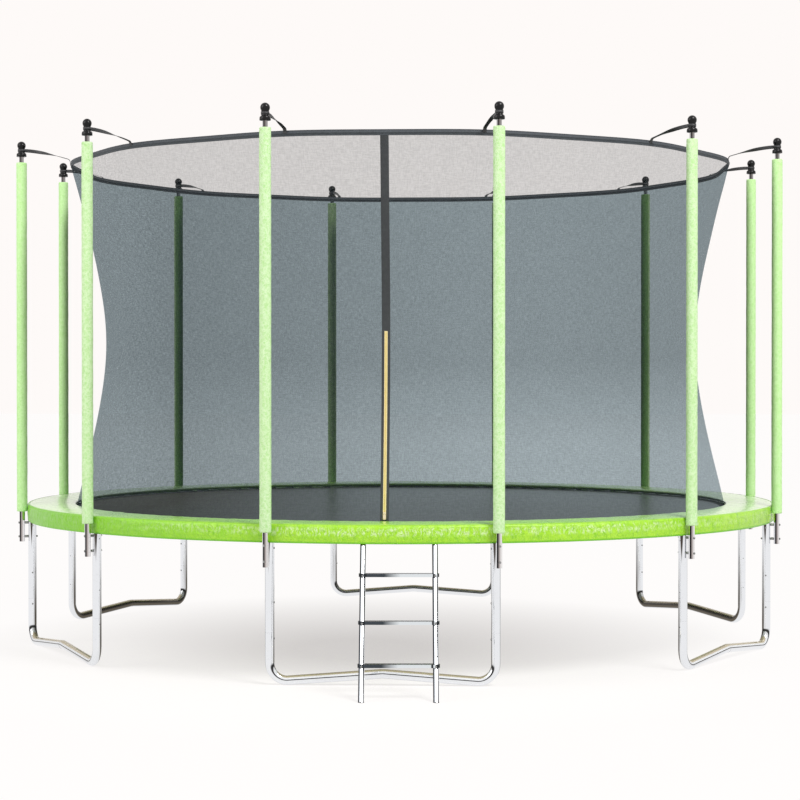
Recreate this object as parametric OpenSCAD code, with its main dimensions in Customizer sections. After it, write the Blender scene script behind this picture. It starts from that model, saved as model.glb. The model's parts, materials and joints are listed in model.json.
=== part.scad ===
// Round garden trampoline with a waisted safety net on twelve poles,
// six W-shaped legs, a spring-hung mat, a padded spring cover and a hook-on ladder.
// Millimetres, +Z up. The origin is on the floor, at the middle of the footprint.
// Azimuths are in degrees from the front (-Y), growing towards +X.

/* [Frame ring] */
// Outer diameter of the frame ring
frame_d = 4270; // [3600:10:4800]
// Height of the ring tube's axis above the floor
frame_z = 740; // [600:5:900]
// Diameter of the ring tube
ring_tube_d = 45; // [40:0.5:50]
// Wall of the ring tube
ring_tube_wall = 1.5; // [1.2:0.1:2.2]
// Length of a rail's swaged end inside its neighbour
swage_len = 60; // [40:1:65]
// Springs along one rail
springs_per_rail = 8; // [6:2:8]

/* [Legs] */
// Diameter of the leg tubes
leg_d = 46; // [42:0.5:46]
// Wall of the leg tubes
leg_wall = 1.5; // [1.2:0.1:2]
// Bend radius of a leg base, on the tube's axis
leg_bend_r = 85; // [75:1:110]
// Slope of the base bar up to its middle, in degrees
leg_slope = 4.3; // [4.3:0.1:6]
// Bend radius at the middle of the base bar
leg_mid_r = 120; // [80:5:200]
// Height of the joint between a base and its uprights
leg_joint_z = 255; // [220:1:300]
// Depth of the pressed flat under each bend
foot_flat = 0.2; // [0.1:0.05:0.2]
// Length of the frame's spigot inside an upright, below the ring tube
spigot_len = 78; // [70:1:90]
// Reach of the joint sleeve above and below the joint
sleeve_up = 175; // [160:1:200]
sleeve_down = 65; // [50:1:90]

/* [Poles] */
// Distance from a leg's axis to its pole's axis
pole_offset = 56.5; // [56:0.5:70]
// Diameter of a pole's lower tube
pole_low_d = 31.8; // [28:0.1:34]
// Diameter of a pole's upper tube
pole_top_d = 25.4; // [22:0.1:27]
// Wall of the pole tubes
pole_wall = 1.5; // [1.2:0.1:2]
// Height of a pole's lower end
pole_bottom_z = 574; // [560:1:585]
// Height of the joint between lower and upper pole tube
pole_joint_z = 1640; // [1400:10:1900]
// Height of the two pole bolts
bolt_high_z = 679; // [670:1:685]
bolt_low_z = 602; // [595:1:615]
// Diameter of the pole bolts
bolt_d = 6; // [5:0.5:7]
// Outer diameter of the spacers between a pole and its leg
spacer_d = 14; // [12:0.5:16]
// Outer diameter of the foam sleeves
foam_d = 58; // [50:1:59]
// Height of the lower and upper end of the foam
foam_bottom_z = 742; // [740:1:760]
foam_top_z = 2688; // [2500:1:2700]

/* [Caps] */
// Top of the caps above the floor
cap_top_z = 2807; // [2790:1:2900]
// Diameter of a cap's ball, neck and collar
cap_ball_d = 47; // [42:1:50]
cap_neck_d = 37; // [32:1:40]
cap_collar_d = 55; // [50:1:60]
// Height of a cap's collar and of its whole body below the ball's centre
cap_collar_h = 23; // [18:1:26]
cap_body_h = 62.5; // [56:0.5:70]

/* [Mat and springs] */
// Radius of the mat
mat_r = 1885; // [1600:5:1890]
// Thickness of the mat
mat_t = 1.5; // [1:0.1:3]
// Height of the mat's top above the ring tube's axis
mat_rise = 15; // [12:0.5:16]
// Diameter of a spring's body
spring_d = 22; // [18:0.5:24]
// Wire of the springs
spring_wire = 3.2; // [2.6:0.1:3.6]
// Wire of the triangular rings at the mat's edge
ring_wire = 4; // [3:0.5:5]
// Width and length of a triangular ring
ring_w = 36; // [28:1:44]
ring_len = 44; // [38:1:50]

/* [Spring cover] */
// Inner radius of the cover
cover_inner_r = 1868; // [1866:1:1880]
// Thickness of the cover's inner edge and of its crown
cover_edge_t = 13; // [10:1:16]
cover_crown_t = 22; // [19:1:30]
// Height of the cover's underside above the ring tube's axis
cover_rise = 25; // [24.5:0.5:28]
// Thickness of the skirt
skirt_t = 2.5; // [2:0.5:3]
// Height of the skirt's lower edge
skirt_bottom_z = 690; // [689:1:700]
// Half-angle of the skirt's loose part, which ends beside the two front poles
flap_half = 14.2; // [13:0.05:14.4]

/* [Net] */
// Radius of the net at its waist and height of the waist
waist_r = 1694; // [1600:1:1700]
waist_z = 1680; // [1600:10:1750]
// Slope that the net's sides run out to, and roundness of the waist
net_slope = 0.28; // [0.27:0.01:0.28]
waist_round = 111; // [105:1:200]
// Thickness of the net
net_t = 2; // [1:0.5:3]
// Lower and upper edge of the hem band
hem_bottom_z = 2675; // [2600:1:2676]
hem_h = 30; // [24:1:34]
// Thickness of the hem band
hem_t = 12; // [11:0.5:14]
// Diameter of the rods inside the hem
rod_d = 8.4; // [7:0.2:9]
// Width and thickness of the straps
strap_w = 20; // [16:1:26]
strap_t = 2.4; // [1.6:0.2:3]

/* [Entrance zip] */
// Width of the dark band behind the zip
placket_w = 42; // [36:1:50]
// Width of the zip's tape
tape_w = 16; // [12:1:20]
// Height of the lower and upper end of the zip
zip_bottom_z = 790; // [780:1:820]
zip_top_z = 1719; // [1600:1:1740]
// Radius of the arc that the zip hangs in, seen from the side
zip_arc_r = 3900; // [3900:50:5000]
// How much further from the net the arc's lower end stands than its upper end
zip_ease = 5.5; // [5.5:0.5:9]
// Length of the slider
slider_len = 30; // [24:1:36]

/* [Ladder] */
// Azimuth of the ladder
ladder_az = 2.25; // [1.5:0.05:3]
// Distance between the axes of the two rails
ladder_w = 344; // [300:2:360]
// Diameter and wall of the rails
ladder_d = 28; // [24:0.5:29]
ladder_wall = 1.5; // [1.2:0.1:2]
// Distance of the feet from the middle of the frame
ladder_foot_r = 2560; // [2500:5:2650]
// Height of the upper, middle and lower step
step_top_z = 549; // [530:1:560]
step_mid_z = 339; // [320:1:360]
step_low_z = 154; // [140:1:180]
// Depth, height and sheet of a step
step_depth = 50; // [50:1:80]
step_h = 15; // [13:0.5:16]
step_sheet = 1.6; // [1.2:0.1:1.8]
// Thickness and width of the hooks
hook_t = 4.5; // [3:0.5:4.5]
hook_w = 25; // [20:1:26]

/* [Hidden] */

// Colours
STEEL = [0.80, 0.81, 0.83];
ZINC = [0.66, 0.67, 0.68];
LIME = [0.45, 0.78, 0.08];
PALE_GREEN = [0.62, 0.88, 0.42];
BLACK = [0.05, 0.05, 0.06];
MESH_GREY = [0.30, 0.33, 0.35];
GOLD = [0.85, 0.68, 0.30];

// Facets: of the big rings, of tubes, of small round parts
BIG = 256;
MID = 64;
SMALL = 32;

// Clearances: between soft or seated pieces, of a slipped-in tube, of a bolt hole
seat = 0.3;
slip = 0.2;
hole_gap = 0.3;

// Counts that go with six legs
legs = 6;
poles = 2 * legs;
pole_step = 360 / poles;

// Ring
ring_tube_r = ring_tube_d / 2;
ring_r = frame_d / 2 - ring_tube_r;
ring_bore_r = ring_tube_r - ring_tube_wall;
swage_r = ring_bore_r - slip;
swage_angle = swage_len / ring_r * 180 / PI;
spring_step = pole_step / springs_per_rail;

// Legs
leg_r = leg_d / 2;
leg_bore_r = leg_r - leg_wall;
insert_r = leg_bore_r - slip;
insert_bore_r = insert_r - leg_wall;
leg_plane_y = ring_r * cos(pole_step / 2);
leg_half_w = ring_r * sin(pole_step / 2);
leg_top_z = frame_z - ring_tube_r - seat;
bend_draw = 0.4;
bend_reach = 2;
leg_axis_z = leg_r - bend_draw - foot_flat;
sleeve_screw_z = [leg_joint_z + sleeve_up - 30, leg_joint_z - sleeve_down + 35];
socket_screw_z = frame_z - ring_tube_r - spigot_len + 23.5;
screw_r = 2.1;
screw_hole_r = screw_r + hole_gap;

// Poles
pole_r = ring_r + pole_offset;
bolt_r = bolt_d / 2;
bolt_hole_r = bolt_r + hole_gap;
pole_low_r = pole_low_d / 2;
pole_top_r = pole_top_d / 2;
pole_overlap = 80;
foam_r = foam_d / 2;

// Caps
cap_ball_r = cap_ball_d / 2;
cap_ball_z = cap_top_z - cap_ball_r;
cap_bottom_z = cap_ball_z - cap_body_h;
cap_neck_r = cap_neck_d / 2;
cap_socket_h = cap_body_h - cap_ball_r;

// Mat and springs
mat_top_z = frame_z + mat_rise;
ring_top_z = mat_top_z - mat_t - seat;
ring_apex_r = mat_r + ring_len - 6;
spring_z = ring_top_z - 1;
spring_in_r = ring_apex_r + 15;
spring_out_r = ring_r - ring_tube_r - 35;
eye_z = ring_top_z + spring_wire / 2 + seat;
eye_r = ring_apex_r - ring_wire - spring_wire / 2 - seat;

// Spring cover and skirt
cover_bottom_z = frame_z + cover_rise;
skirt_in_r = ring_r + ring_tube_r + 1;
skirt_out_r = skirt_in_r + skirt_t;
skirt_top_z = cover_bottom_z - 3;
slit = 0.02;

// Net
net_bottom_z = mat_top_z + seat;
net_top_z = hem_bottom_z - seat;
net_rows = 48;
hem_r = net_radius(hem_bottom_z);
rod_r = rod_d / 2;
rod_z = hem_bottom_z + hem_h / 2;
panel_gap = 0.03;

// Zip: the inner face of its tape is an arc, zip_stand in front of the net at its upper end
placket_t = 2;
placket_in = net_t / 2 + seat;
zip_stand = placket_in + placket_t + seat;
tape_t = 1.4;
chain_w = 6;
chain_t = 1.6;
zip_end_r = [net_radius(zip_bottom_z) + zip_stand + zip_ease, net_radius(zip_top_z) + zip_stand];
zip_chord = norm([zip_end_r[0] - zip_end_r[1], zip_top_z - zip_bottom_z]);
zip_tilt = atan((zip_end_r[0] - zip_end_r[1]) / (zip_top_z - zip_bottom_z));
zip_sweep = 2 * asin(zip_chord / 2 / zip_arc_r);
zip_lean = zip_tilt + zip_sweep / 2;
// Centre of the arc, as distance in front of the net's axis and height
zip_c = [zip_end_r[0] + zip_arc_r * cos(zip_lean), zip_bottom_z + zip_arc_r * sin(zip_lean)];
slider_gap = 0.3;
// Angle that an end stop takes of the zip's arc; the slider rests on the lower one
zip_stop = 0.07;
slider_start = zip_stop * PI / 180 * zip_arc_r + seat;
slider_w = 13;
slider_wall = 2;
bail_r = 1.5;

// Ladder, in its own frame: turned by ladder_az, front towards -Y
ladder_half_w = ladder_w / 2;
ladder_r = ladder_d / 2;
hinge_y = sqrt(ring_r * ring_r - ladder_half_w * ladder_half_w);
// Slack that the straight hook needs on the curved tube
hook_slack = hook_w / 2 * ladder_half_w / hinge_y + 0.6;
hook_in_r = ring_tube_r + hook_slack;
hook_out_r = hook_in_r + hook_t;
// The rails pass just inside the skirt's lower edge
skirt_y = sqrt(skirt_in_r * skirt_in_r - pow(ladder_half_w + ladder_r, 2));
lean_guess = atan((ladder_foot_r - skirt_y + ladder_r * 1.2) / skirt_bottom_z);
rail_y = skirt_y - ladder_r / cos(lean_guess) - 0.6;
lean = atan((ladder_foot_r - rail_y) / skirt_bottom_z);
sole_t = 3;
step_z = [step_top_z, step_mid_z, step_low_z];
step_bolt_drop = 2;
// The hook runs from under the tube around its inner side and over its top
hook_from = -105;
hook_to = 120;
pocket_r = hook_out_r + 1;

// The ring stands behind the footprint's middle, because the ladder reaches out in front
front_y = ladder_foot_r * cos(ladder_az) + ladder_half_w * sin(ladder_az) + ladder_r / cos(lean);
ring_y = (front_y - skirt_out_r) / 2;

// Radius of the net at height z: a hyperbola, round at the waist, straighter away from it
function net_radius(z) =
    waist_r - waist_round + sqrt(pow(waist_round, 2) + pow(net_slope * (z - waist_z), 2));

// Radius of the zip's arc, in front of the ring's middle, at height z
function zip_radius(z) = zip_c[0] - sqrt(pow(zip_arc_r, 2) - pow(z - zip_c[1], 2));

// Radius of the placket's outer face: just under the zip's tape where there is one
function placket_radius(z) = let (r = net_radius(z) + placket_in + placket_t)
    z < zip_bottom_z || z > zip_top_z ? r : max(r - placket_t / 2, zip_radius(z) - seat);

// Radius (y) of a ladder rail's axis at height z
function rail_axis_y(z) = ladder_foot_r - z * tan(lean);

// Turns what is built at the front to azimuth a
module at_azimuth(a) {
    rotate([0, 0, a]) children();
}

// Moves the ring's frame to the part's frame
module on_ring() {
    translate([0, ring_y, 0]) children();
}

// Turns what is built upright in the XY plane into the XZ plane
module upright() {
    rotate([90, 0, 0]) children();
}

// Vertical tube from z0 to z1
module tube(z0, z1, ro, ri) {
    translate([0, 0, z0]) linear_extrude(z1 - z0) difference() {
        circle(ro);
        circle(ri);
    }
}

// Vertical rod from z0 to z1
module rod(z0, z1, r) {
    translate([0, 0, z0]) cylinder(h = z1 - z0, r = r);
}

// Rod of radius r bent around Z on radius R
module bent_rod(R, start, sweep, r) {
    rotate_extrude(angle = sweep, start = start) translate([R, 0]) circle(r);
}

// Cylinder of radius r along Y, from y0 to y1
module rod_y(y0, y1, r) {
    translate([0, y1, 0]) rotate([90, 0, 0]) cylinder(h = y1 - y0, r = r);
}

// Cylinder of radius r along X, from x0 to x1
module rod_x(x0, x1, r) {
    translate([x0, 0, 0]) rotate([0, 90, 0]) cylinder(h = x1 - x0, r = r);
}

// ---- Frame ring ----

// Solid arc of the ring between two azimuths
module ring_arc(a0, a1, r) {
    translate([0, 0, frame_z]) rotate_extrude(angle = a1 - a0, start = a0 - 90, $fn = BIG)
        translate([ring_r, 0]) circle(r, $fn = MID);
}

// One curved top rail, with its narrowed male end, leg spigot and spring holes
module rail() {
    half = pole_step / 2;
    neck = half - swage_angle / 2;
    difference() {
        union() {
            ring_arc(-half, half - slit, ring_tube_r);
            ring_arc(neck - swage_angle / 4, half + swage_angle, swage_r);
            translate([0, -ring_r, 0])
                rod(frame_z - ring_tube_r - spigot_len, frame_z, insert_r, $fn = MID);
        }
        ring_arc(-half - 1, neck, ring_bore_r);
        ring_arc(neck - 0.1, half + swage_angle + 1, swage_r - ring_tube_wall);
        translate([0, -ring_r, 0])
            rod(0, frame_z - ring_tube_r - 0.5, insert_bore_r, $fn = MID);
        for (i = [0 : springs_per_rail - 1])
            at_azimuth((i + 0.5) * spring_step - half)
                translate([0, 0, spring_z])
                    rod_y(-ring_r, -ring_r + ring_tube_r + 5, spring_wire / 2 + 1, $fn = SMALL);
        translate([0, -ring_r, socket_screw_z]) rod_x(-leg_d, leg_d, screw_hole_r, $fn = SMALL);
        translate([0, -ring_r, bolt_high_z]) rod_y(-leg_d, leg_d, bolt_hole_r, $fn = SMALL);
    }
}

// The two rails above leg k
module rail_pair(k) {
    color(STEEL) for (s = [-1, 1]) at_azimuth(k * 60 + s * pole_step / 2) rail();
}

// ---- Legs ----

// Solid form of a W-shaped base: straight runs of radius r, two bends, and a bar that rises to
// its middle. Bending draws the tube in by bend_draw, so each bend runs a little way into its
// neighbours.
module leg_base_form(r, top_z) {
    bend_z = leg_axis_z + leg_bend_r;
    bend_x = leg_half_w - leg_bend_r;
    low_x = bend_x - leg_bend_r * sin(leg_slope);
    low_z = bend_z - leg_bend_r * cos(leg_slope);
    bar = (low_x - leg_mid_r * sin(leg_slope)) / cos(leg_slope);
    mid_z = low_z + bar * sin(leg_slope) - leg_mid_r * cos(leg_slope);
    more = bend_reach / leg_bend_r * 180 / PI;
    more_mid = bend_reach / leg_mid_r * 180 / PI;
    for (s = [0, 1]) mirror([s, 0, 0]) {
        translate([leg_half_w, 0, 0]) rod(bend_z, top_z, r, $fn = MID);
        translate([bend_x, 0, bend_z]) upright()
            bent_rod(leg_bend_r, 270 - leg_slope - more, 90 + leg_slope + 2 * more,
                     r - bend_draw, $fn = MID);
        translate([low_x, 0, low_z]) rotate([0, leg_slope - 90, 0]) rod(0, bar, r, $fn = MID);
    }
    translate([0, 0, mid_z]) upright()
        bent_rod(leg_mid_r, 90 - leg_slope - more_mid, 2 * (leg_slope + more_mid),
                 r - bend_draw, $fn = MID);
}

// Base tube of leg k, with pressed flats under its bends
module leg_base(k) {
    color(STEEL) at_azimuth(k * 60) translate([0, -leg_plane_y, 0]) difference() {
        leg_base_form(leg_r, leg_joint_z - seat);
        leg_base_form(leg_bore_r, leg_joint_z + leg_d);
        translate([-leg_half_w - leg_d, -leg_d, -leg_d])
            cube([2 * (leg_half_w + leg_d), 2 * leg_d, leg_d]);
        for (s = [-1, 1]) translate([s * leg_half_w, 0, sleeve_screw_z[1]])
            rotate([0, 0, s * pole_step / 2]) rod_x(-leg_d, leg_d, screw_hole_r, $fn = SMALL);
    }
}

// One upright, built at the origin with the pole side towards -Y
module leg_upright() {
    difference() {
        tube(leg_joint_z, leg_top_z, leg_r, leg_bore_r, $fn = MID);
        for (z = [bolt_high_z, bolt_low_z])
            translate([0, 0, z]) rod_y(-leg_d, leg_d, bolt_hole_r, $fn = SMALL);
        for (z = [sleeve_screw_z[0], socket_screw_z])
            translate([0, 0, z]) rod_x(-leg_d, leg_d, screw_hole_r, $fn = SMALL);
    }
}

// The two uprights of leg k
module leg_uprights(k) {
    color(STEEL) for (s = [-1, 1])
        at_azimuth(k * 60 + s * pole_step / 2) translate([0, -ring_r, 0]) leg_upright();
}

// Places its children at the foot of every leg upright; $side is -1 or 1, towards the leg's middle
module at_uprights() {
    for (k = [0 : legs - 1], s = [-1, 1]) {
        $side = -s;
        at_azimuth(k * 60 + s * pole_step / 2) translate([0, -ring_r, 0]) children();
    }
}

// Sleeves inside the joints between bases and uprights
module leg_sleeves() {
    color(ZINC) at_uprights() difference() {
        tube(leg_joint_z - sleeve_down, leg_joint_z + sleeve_up, insert_r, insert_bore_r,
             $fn = MID);
        for (z = sleeve_screw_z)
            translate([0, 0, z]) rod_x(-leg_d, leg_d, screw_hole_r, $fn = SMALL);
    }
}

// One round-headed screw along X, its head on the tube's side
module leg_screw() {
    rod_x(insert_bore_r - 3, leg_r + 0.4, screw_r, $fn = SMALL);
    rod_x(leg_r + 0.1, leg_r + 1.4, 2.3 * screw_r, $fn = SMALL);
    rod_x(leg_r + 1.2, leg_r + 2.6, 1.6 * screw_r, $fn = SMALL);
}

// Screws of the sleeves and of the frame's spigots, on the side that faces the other upright
module leg_screws() {
    color(ZINC) at_uprights() mirror([$side < 0 ? 1 : 0, 0, 0]) {
        for (z = [sleeve_screw_z[0], sleeve_screw_z[1], socket_screw_z])
            translate([0, 0, z]) leg_screw();
    }
}

// ---- Poles ----

// Lower and upper tube of one pole; the lower tube narrows to hold the upper one
module pole() {
    neck_r = pole_top_r + slip;
    neck_z = pole_joint_z - pole_overlap - 15;
    difference() {
        rotate_extrude($fn = MID) polygon([
            [pole_low_r - pole_wall, pole_bottom_z], [pole_low_r, pole_bottom_z],
            [pole_low_r, neck_z - 15], [neck_r + pole_wall, neck_z],
            [neck_r + pole_wall, pole_joint_z], [neck_r, pole_joint_z],
            [neck_r, neck_z], [pole_low_r - pole_wall, neck_z - 15]
        ]);
        for (z = [bolt_high_z, bolt_low_z])
            translate([0, 0, z]) rod_y(-pole_low_d, pole_low_d, bolt_hole_r, $fn = SMALL);
    }
    tube(neck_z + 2, cap_bottom_z + cap_socket_h - 2, pole_top_r, pole_top_r - pole_wall,
         $fn = MID);
}

module pole_pair(k) {
    color(STEEL) for (s = [-1, 1])
        at_azimuth(k * 60 + s * pole_step / 2) translate([0, -pole_r, 0]) pole();
}

// Foam sleeves of the two poles at leg k
module foam_pair(k) {
    wide = pole_low_r + seat;
    narrow = pole_top_r + slip + pole_wall + seat;
    step = pole_joint_z - pole_overlap;
    color(PALE_GREEN) for (s = [-1, 1])
        at_azimuth(k * 60 + s * pole_step / 2) translate([0, -pole_r, 0])
            rotate_extrude($fn = MID) polygon([
                [wide, foam_bottom_z], [foam_r, foam_bottom_z], [foam_r, foam_top_z],
                [pole_top_r + seat, foam_top_z], [pole_top_r + seat, pole_joint_z + 10],
                [narrow, pole_joint_z + 10], [narrow, step], [wide, step]
            ]);
}

// Places its children at every pole's axis
module at_poles() {
    for (i = [0 : poles - 1])
        at_azimuth((i + 0.5) * pole_step) translate([0, -pole_r, 0]) children();
}

// Ball-topped cap with a neck for the strap and a flared collar
module pole_caps() {
    color(BLACK) at_poles() difference() {
        union() {
            translate([0, 0, cap_ball_z]) sphere(cap_ball_r, $fn = MID);
            rotate_extrude($fn = MID) polygon([
                [0, cap_bottom_z], [cap_collar_d / 2, cap_bottom_z],
                [cap_collar_d / 2, cap_bottom_z + cap_collar_h * 0.5],
                [cap_collar_d / 2 - 4, cap_bottom_z + cap_collar_h * 0.85],
                [cap_neck_r, cap_bottom_z + cap_collar_h], [cap_neck_r, cap_ball_z],
                [0, cap_ball_z]
            ]);
        }
        rod(cap_bottom_z - 1, cap_bottom_z + cap_socket_h, pole_top_r + slip, $fn = MID);
    }
}

// Two spacers between each pole and its leg: short tubes on the bolts, saddled to both
module pole_spacers() {
    color(ZINC) at_poles() difference() {
        for (z = [bolt_high_z, bolt_low_z])
            translate([0, 0, z]) rod_y(0, pole_offset, spacer_d / 2, $fn = MID);
        rod(0, frame_z, pole_low_r + seat / 2, $fn = MID);
        translate([0, pole_offset, 0]) rod(0, frame_z, leg_r + seat / 2, $fn = MID);
        for (z = [bolt_high_z, bolt_low_z])
            translate([0, 0, z]) rod_y(-1, pole_offset + 1, bolt_hole_r, $fn = SMALL);
    }
}

// One bolt through pole, spacer and leg, with its hexagon nut inside the leg ring
module pole_bolt() {
    head_y = -pole_low_r - 0.1;
    nut_y = pole_offset + leg_r + 0.1;
    rod_y(head_y - 0.2, nut_y + 7, bolt_r, $fn = SMALL);
    rod_y(head_y - 3.2, head_y, bolt_r * 2, $fn = SMALL);
    rod_y(head_y - 4.6, head_y - 3, bolt_r * 1.3, $fn = SMALL);
    difference() {
        rod_y(nut_y, nut_y + 5, bolt_r * 1.9, $fn = 6);
        rod_y(nut_y - 1, nut_y + 6, bolt_r + 0.1, $fn = SMALL);
    }
}

module pole_bolts() {
    color(ZINC) at_poles() for (z = [bolt_high_z, bolt_low_z])
        translate([0, 0, z]) pole_bolt();
}

// ---- Mat and springs ----

module mat() {
    color(BLACK) rod(mat_top_z - mat_t, mat_top_z, mat_r, $fn = BIG);
}

// Places its children at every spring's azimuth
module at_springs() {
    for (i = [0 : poles * springs_per_rail - 1])
        at_azimuth((i + 0.5) * spring_step) children();
}

// Triangular wire rings, sewn under the mat's edge
module mat_rings() {
    w = ring_w / 2;
    y0 = mat_r - 6;
    y1 = ring_apex_r;
    t = ring_wire;
    color(ZINC) at_springs()
        translate([0, 0, ring_top_z - t]) linear_extrude(t) difference() {
            polygon([[-w, -y0], [w, -y0], [6, -y1], [-6, -y1]]);
            polygon([[-w + 1.5 * t, -y0 - t], [w - 1.5 * t, -y0 - t],
                     [6 - t, -y1 + t], [-6 + t, -y1 + t]]);
        }
}

// One extension spring: a close-wound body with a hook at each end
module spring() {
    r = spring_wire / 2;
    translate([0, 0, spring_z]) rod_y(-spring_out_r, -spring_in_r, spring_d / 2, $fn = SMALL);
    translate([0, 0, eye_z]) rod_y(-spring_in_r - 1, -eye_r + r - 0.2, r, $fn = SMALL);
    translate([0, -eye_r, 0]) rod(ring_top_z - ring_wire - 3, eye_z, r - 0.1, $fn = SMALL);
    translate([0, 0, spring_z])
        rod_y(-ring_r + ring_tube_r * 0.55, -spring_out_r + 1, r, $fn = SMALL);
}

module springs() {
    color(ZINC) at_springs() spring();
}

// ---- Spring cover ----

// Half cross-section of the cover: flat below, crowned above, drawn down over the ring tube
function cover_crown(n) = [
    for (i = [0 : n]) let (u = i / n)
        [cover_inner_r + u * (skirt_out_r - 6 - cover_inner_r),
         cover_bottom_z + cover_edge_t + (cover_crown_t - cover_edge_t) * pow(sin(180 * u), 0.6)]
];

module spring_cover() {
    color(LIME) difference() {
        rotate_extrude($fn = BIG) polygon(concat(
            [[cover_inner_r, cover_bottom_z]],
            cover_crown(14),
            [[skirt_out_r - 2, cover_bottom_z + cover_edge_t - 3],
             [skirt_out_r, cover_bottom_z + cover_edge_t - 8],
             [skirt_out_r, skirt_top_z], [skirt_in_r, skirt_top_z],
             [skirt_in_r, cover_bottom_z]]
        ));
        at_azimuth(ladder_az) for (s = [-1, 1])
            translate([s * ladder_half_w, -hinge_y, frame_z])
                rod_x(-hook_w / 2 - 2, hook_w / 2 + 2, pocket_r, $fn = MID);
    }
}

// Part of the skirt between two azimuths
module skirt_part(a0, a1) {
    color(LIME) rotate_extrude(angle = a1 - a0, start = a0 - 90, $fn = BIG)
        polygon([[skirt_in_r, skirt_bottom_z], [skirt_out_r, skirt_bottom_z],
                 [skirt_out_r, skirt_top_z - seat], [skirt_in_r, skirt_top_z - seat]]);
}

module cover_skirt() {
    skirt_part(flap_half + slit, 360 - flap_half - slit);
}

module skirt_flap() {
    skirt_part(-flap_half, flap_half);
}

// ---- Net ----

// Closed outline of the net's wall, off by d0 and d1 from its mid surface, from z0 to z1
function net_wall(z0, z1, d0, d1, n) = concat(
    [for (i = [0 : n]) let (z = z0 + (z1 - z0) * i / n) [net_radius(z) + d1, z]],
    [for (i = [n : -1 : 0]) let (z = z0 + (z1 - z0) * i / n) [net_radius(z) + d0, z]]
);

// Twelve panels with their seams at the front, at every 30 degrees
module net() {
    color(MESH_GREY) for (i = [0 : poles - 1])
        rotate_extrude(angle = pole_step - panel_gap, start = i * pole_step - 90 + panel_gap / 2,
                       $fn = BIG)
            polygon(net_wall(net_bottom_z, net_top_z, -net_t / 2, net_t / 2, net_rows));
}

// Webbing band around the net's top, hollow for the rods
module net_hem() {
    c = 2;
    a = hem_r - hem_t / 2;
    b = hem_r + hem_t / 2;
    color(MESH_GREY) rotate_extrude($fn = BIG) difference() {
        polygon([[a + c, hem_bottom_z], [b - c, hem_bottom_z], [b, hem_bottom_z + c],
                 [b, hem_bottom_z + hem_h - c], [b - c, hem_bottom_z + hem_h],
                 [a + c, hem_bottom_z + hem_h], [a, hem_bottom_z + hem_h - c],
                 [a, hem_bottom_z + c]]);
        translate([hem_r, rod_z]) circle(rod_r + seat, $fn = SMALL);
    }
}

// Six bent rods, end to end inside the hem
module hem_rods() {
    color(BLACK) for (k = [0 : legs - 1])
        rotate_extrude(angle = 59.9, start = k * 60, $fn = BIG)
            translate([hem_r, rod_z]) circle(rod_r, $fn = SMALL);
}

// Straps from the caps' necks to the hem, each with a loop around its neck
module net_straps() {
    loop_r = cap_neck_r + seat;
    loop_z = (cap_bottom_z + cap_collar_h + cap_ball_z - cap_ball_r * 0.65) / 2;
    far_y = pole_r - hem_r - hem_t / 2 - seat;
    near_y = loop_r + strap_t * 0.5;
    drop = loop_z - rod_z;
    slope = atan(drop / (far_y - near_y));
    length = (far_y - near_y) / cos(slope) - strap_t * sin(slope);
    color(BLACK) at_poles() {
        difference() {
            union() {
                rod(loop_z - 6, loop_z + 6, loop_r + strap_t, $fn = SMALL);
                translate([0, near_y, loop_z]) rotate([-slope, 0, 0])
                    translate([-strap_w / 2, 0, -strap_t / 2]) cube([strap_w, length, strap_t]);
            }
            rod(loop_z - 40, loop_z + 40, loop_r, $fn = SMALL);
        }
    }
}

// ---- Entrance zip ----

// Dark band over the seam at the front
module zip_placket() {
    half = placket_w / 2 / net_radius(waist_z) * 180 / PI;
    z0 = net_bottom_z + 8;
    z1 = net_top_z;
    n = 2 * net_rows;
    color(BLACK) rotate_extrude(angle = 2 * half, start = -90 - half, $fn = BIG) polygon(concat(
        [for (i = [0 : n]) let (z = z0 + (z1 - z0) * i / n) [placket_radius(z), z]],
        [for (i = [n : -1 : 0]) let (z = z0 + (z1 - z0) * i / n) [net_radius(z) + placket_in, z]]
    ));
}

// Piece of the zip along its arc: width, distance in front of the arc, thickness
module along_zip(w, d, t, start, sweep) {
    translate([-w / 2, -zip_c[0], zip_c[1]]) rotate([90, 0, 90])
        rotate_extrude(angle = sweep, start = start, $fn = BIG)
            translate([zip_arc_r - d - t, 0]) square([t, w]);
}

// Tape with its raised chain and the two end stops
module zip_tape() {
    from = -zip_lean;
    color(GOLD) {
        along_zip(tape_w, 0, tape_t, from, zip_sweep);
        along_zip(chain_w, tape_t, chain_t, from, zip_sweep);
        along_zip(chain_w + 4, tape_t, chain_t, from, zip_stop);
        along_zip(chain_w + 4, tape_t, chain_t, from + zip_sweep - zip_stop, zip_stop);
    }
}

// Frame on the zip's arc at distance s from its lower end: x across, y inwards, z along
module on_zip(s) {
    a = -zip_lean + s / zip_arc_r * 180 / PI;
    translate([0, -zip_c[0] + zip_arc_r * cos(a), zip_c[1] + zip_arc_r * sin(a)])
        rotate([a, 0, 0]) children();
}

// Slider: a channel over the chain with a bail in front
module zip_slider() {
    out = tape_t + slider_gap;
    in_w = chain_w + 2 * slider_gap;
    depth = chain_t + slider_wall;
    color(ZINC) on_zip(slider_start) difference() {
        union() {
            translate([-slider_w / 2, -out - depth, 0]) cube([slider_w, depth, slider_len]);
            for (s = [-1, 1]) translate([s * 4.2 - 1, -out - depth - 6, slider_len - 12])
                cube([2, 7, 8]);
        }
        translate([-in_w / 2, -out - chain_t, -1]) cube([in_w, chain_t + 1, slider_len + 2]);
        translate([0, -out - depth - 3, slider_len - 8])
            rod_x(-slider_w, slider_w, bail_r + 0.05, $fn = SMALL);
    }
}

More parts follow.
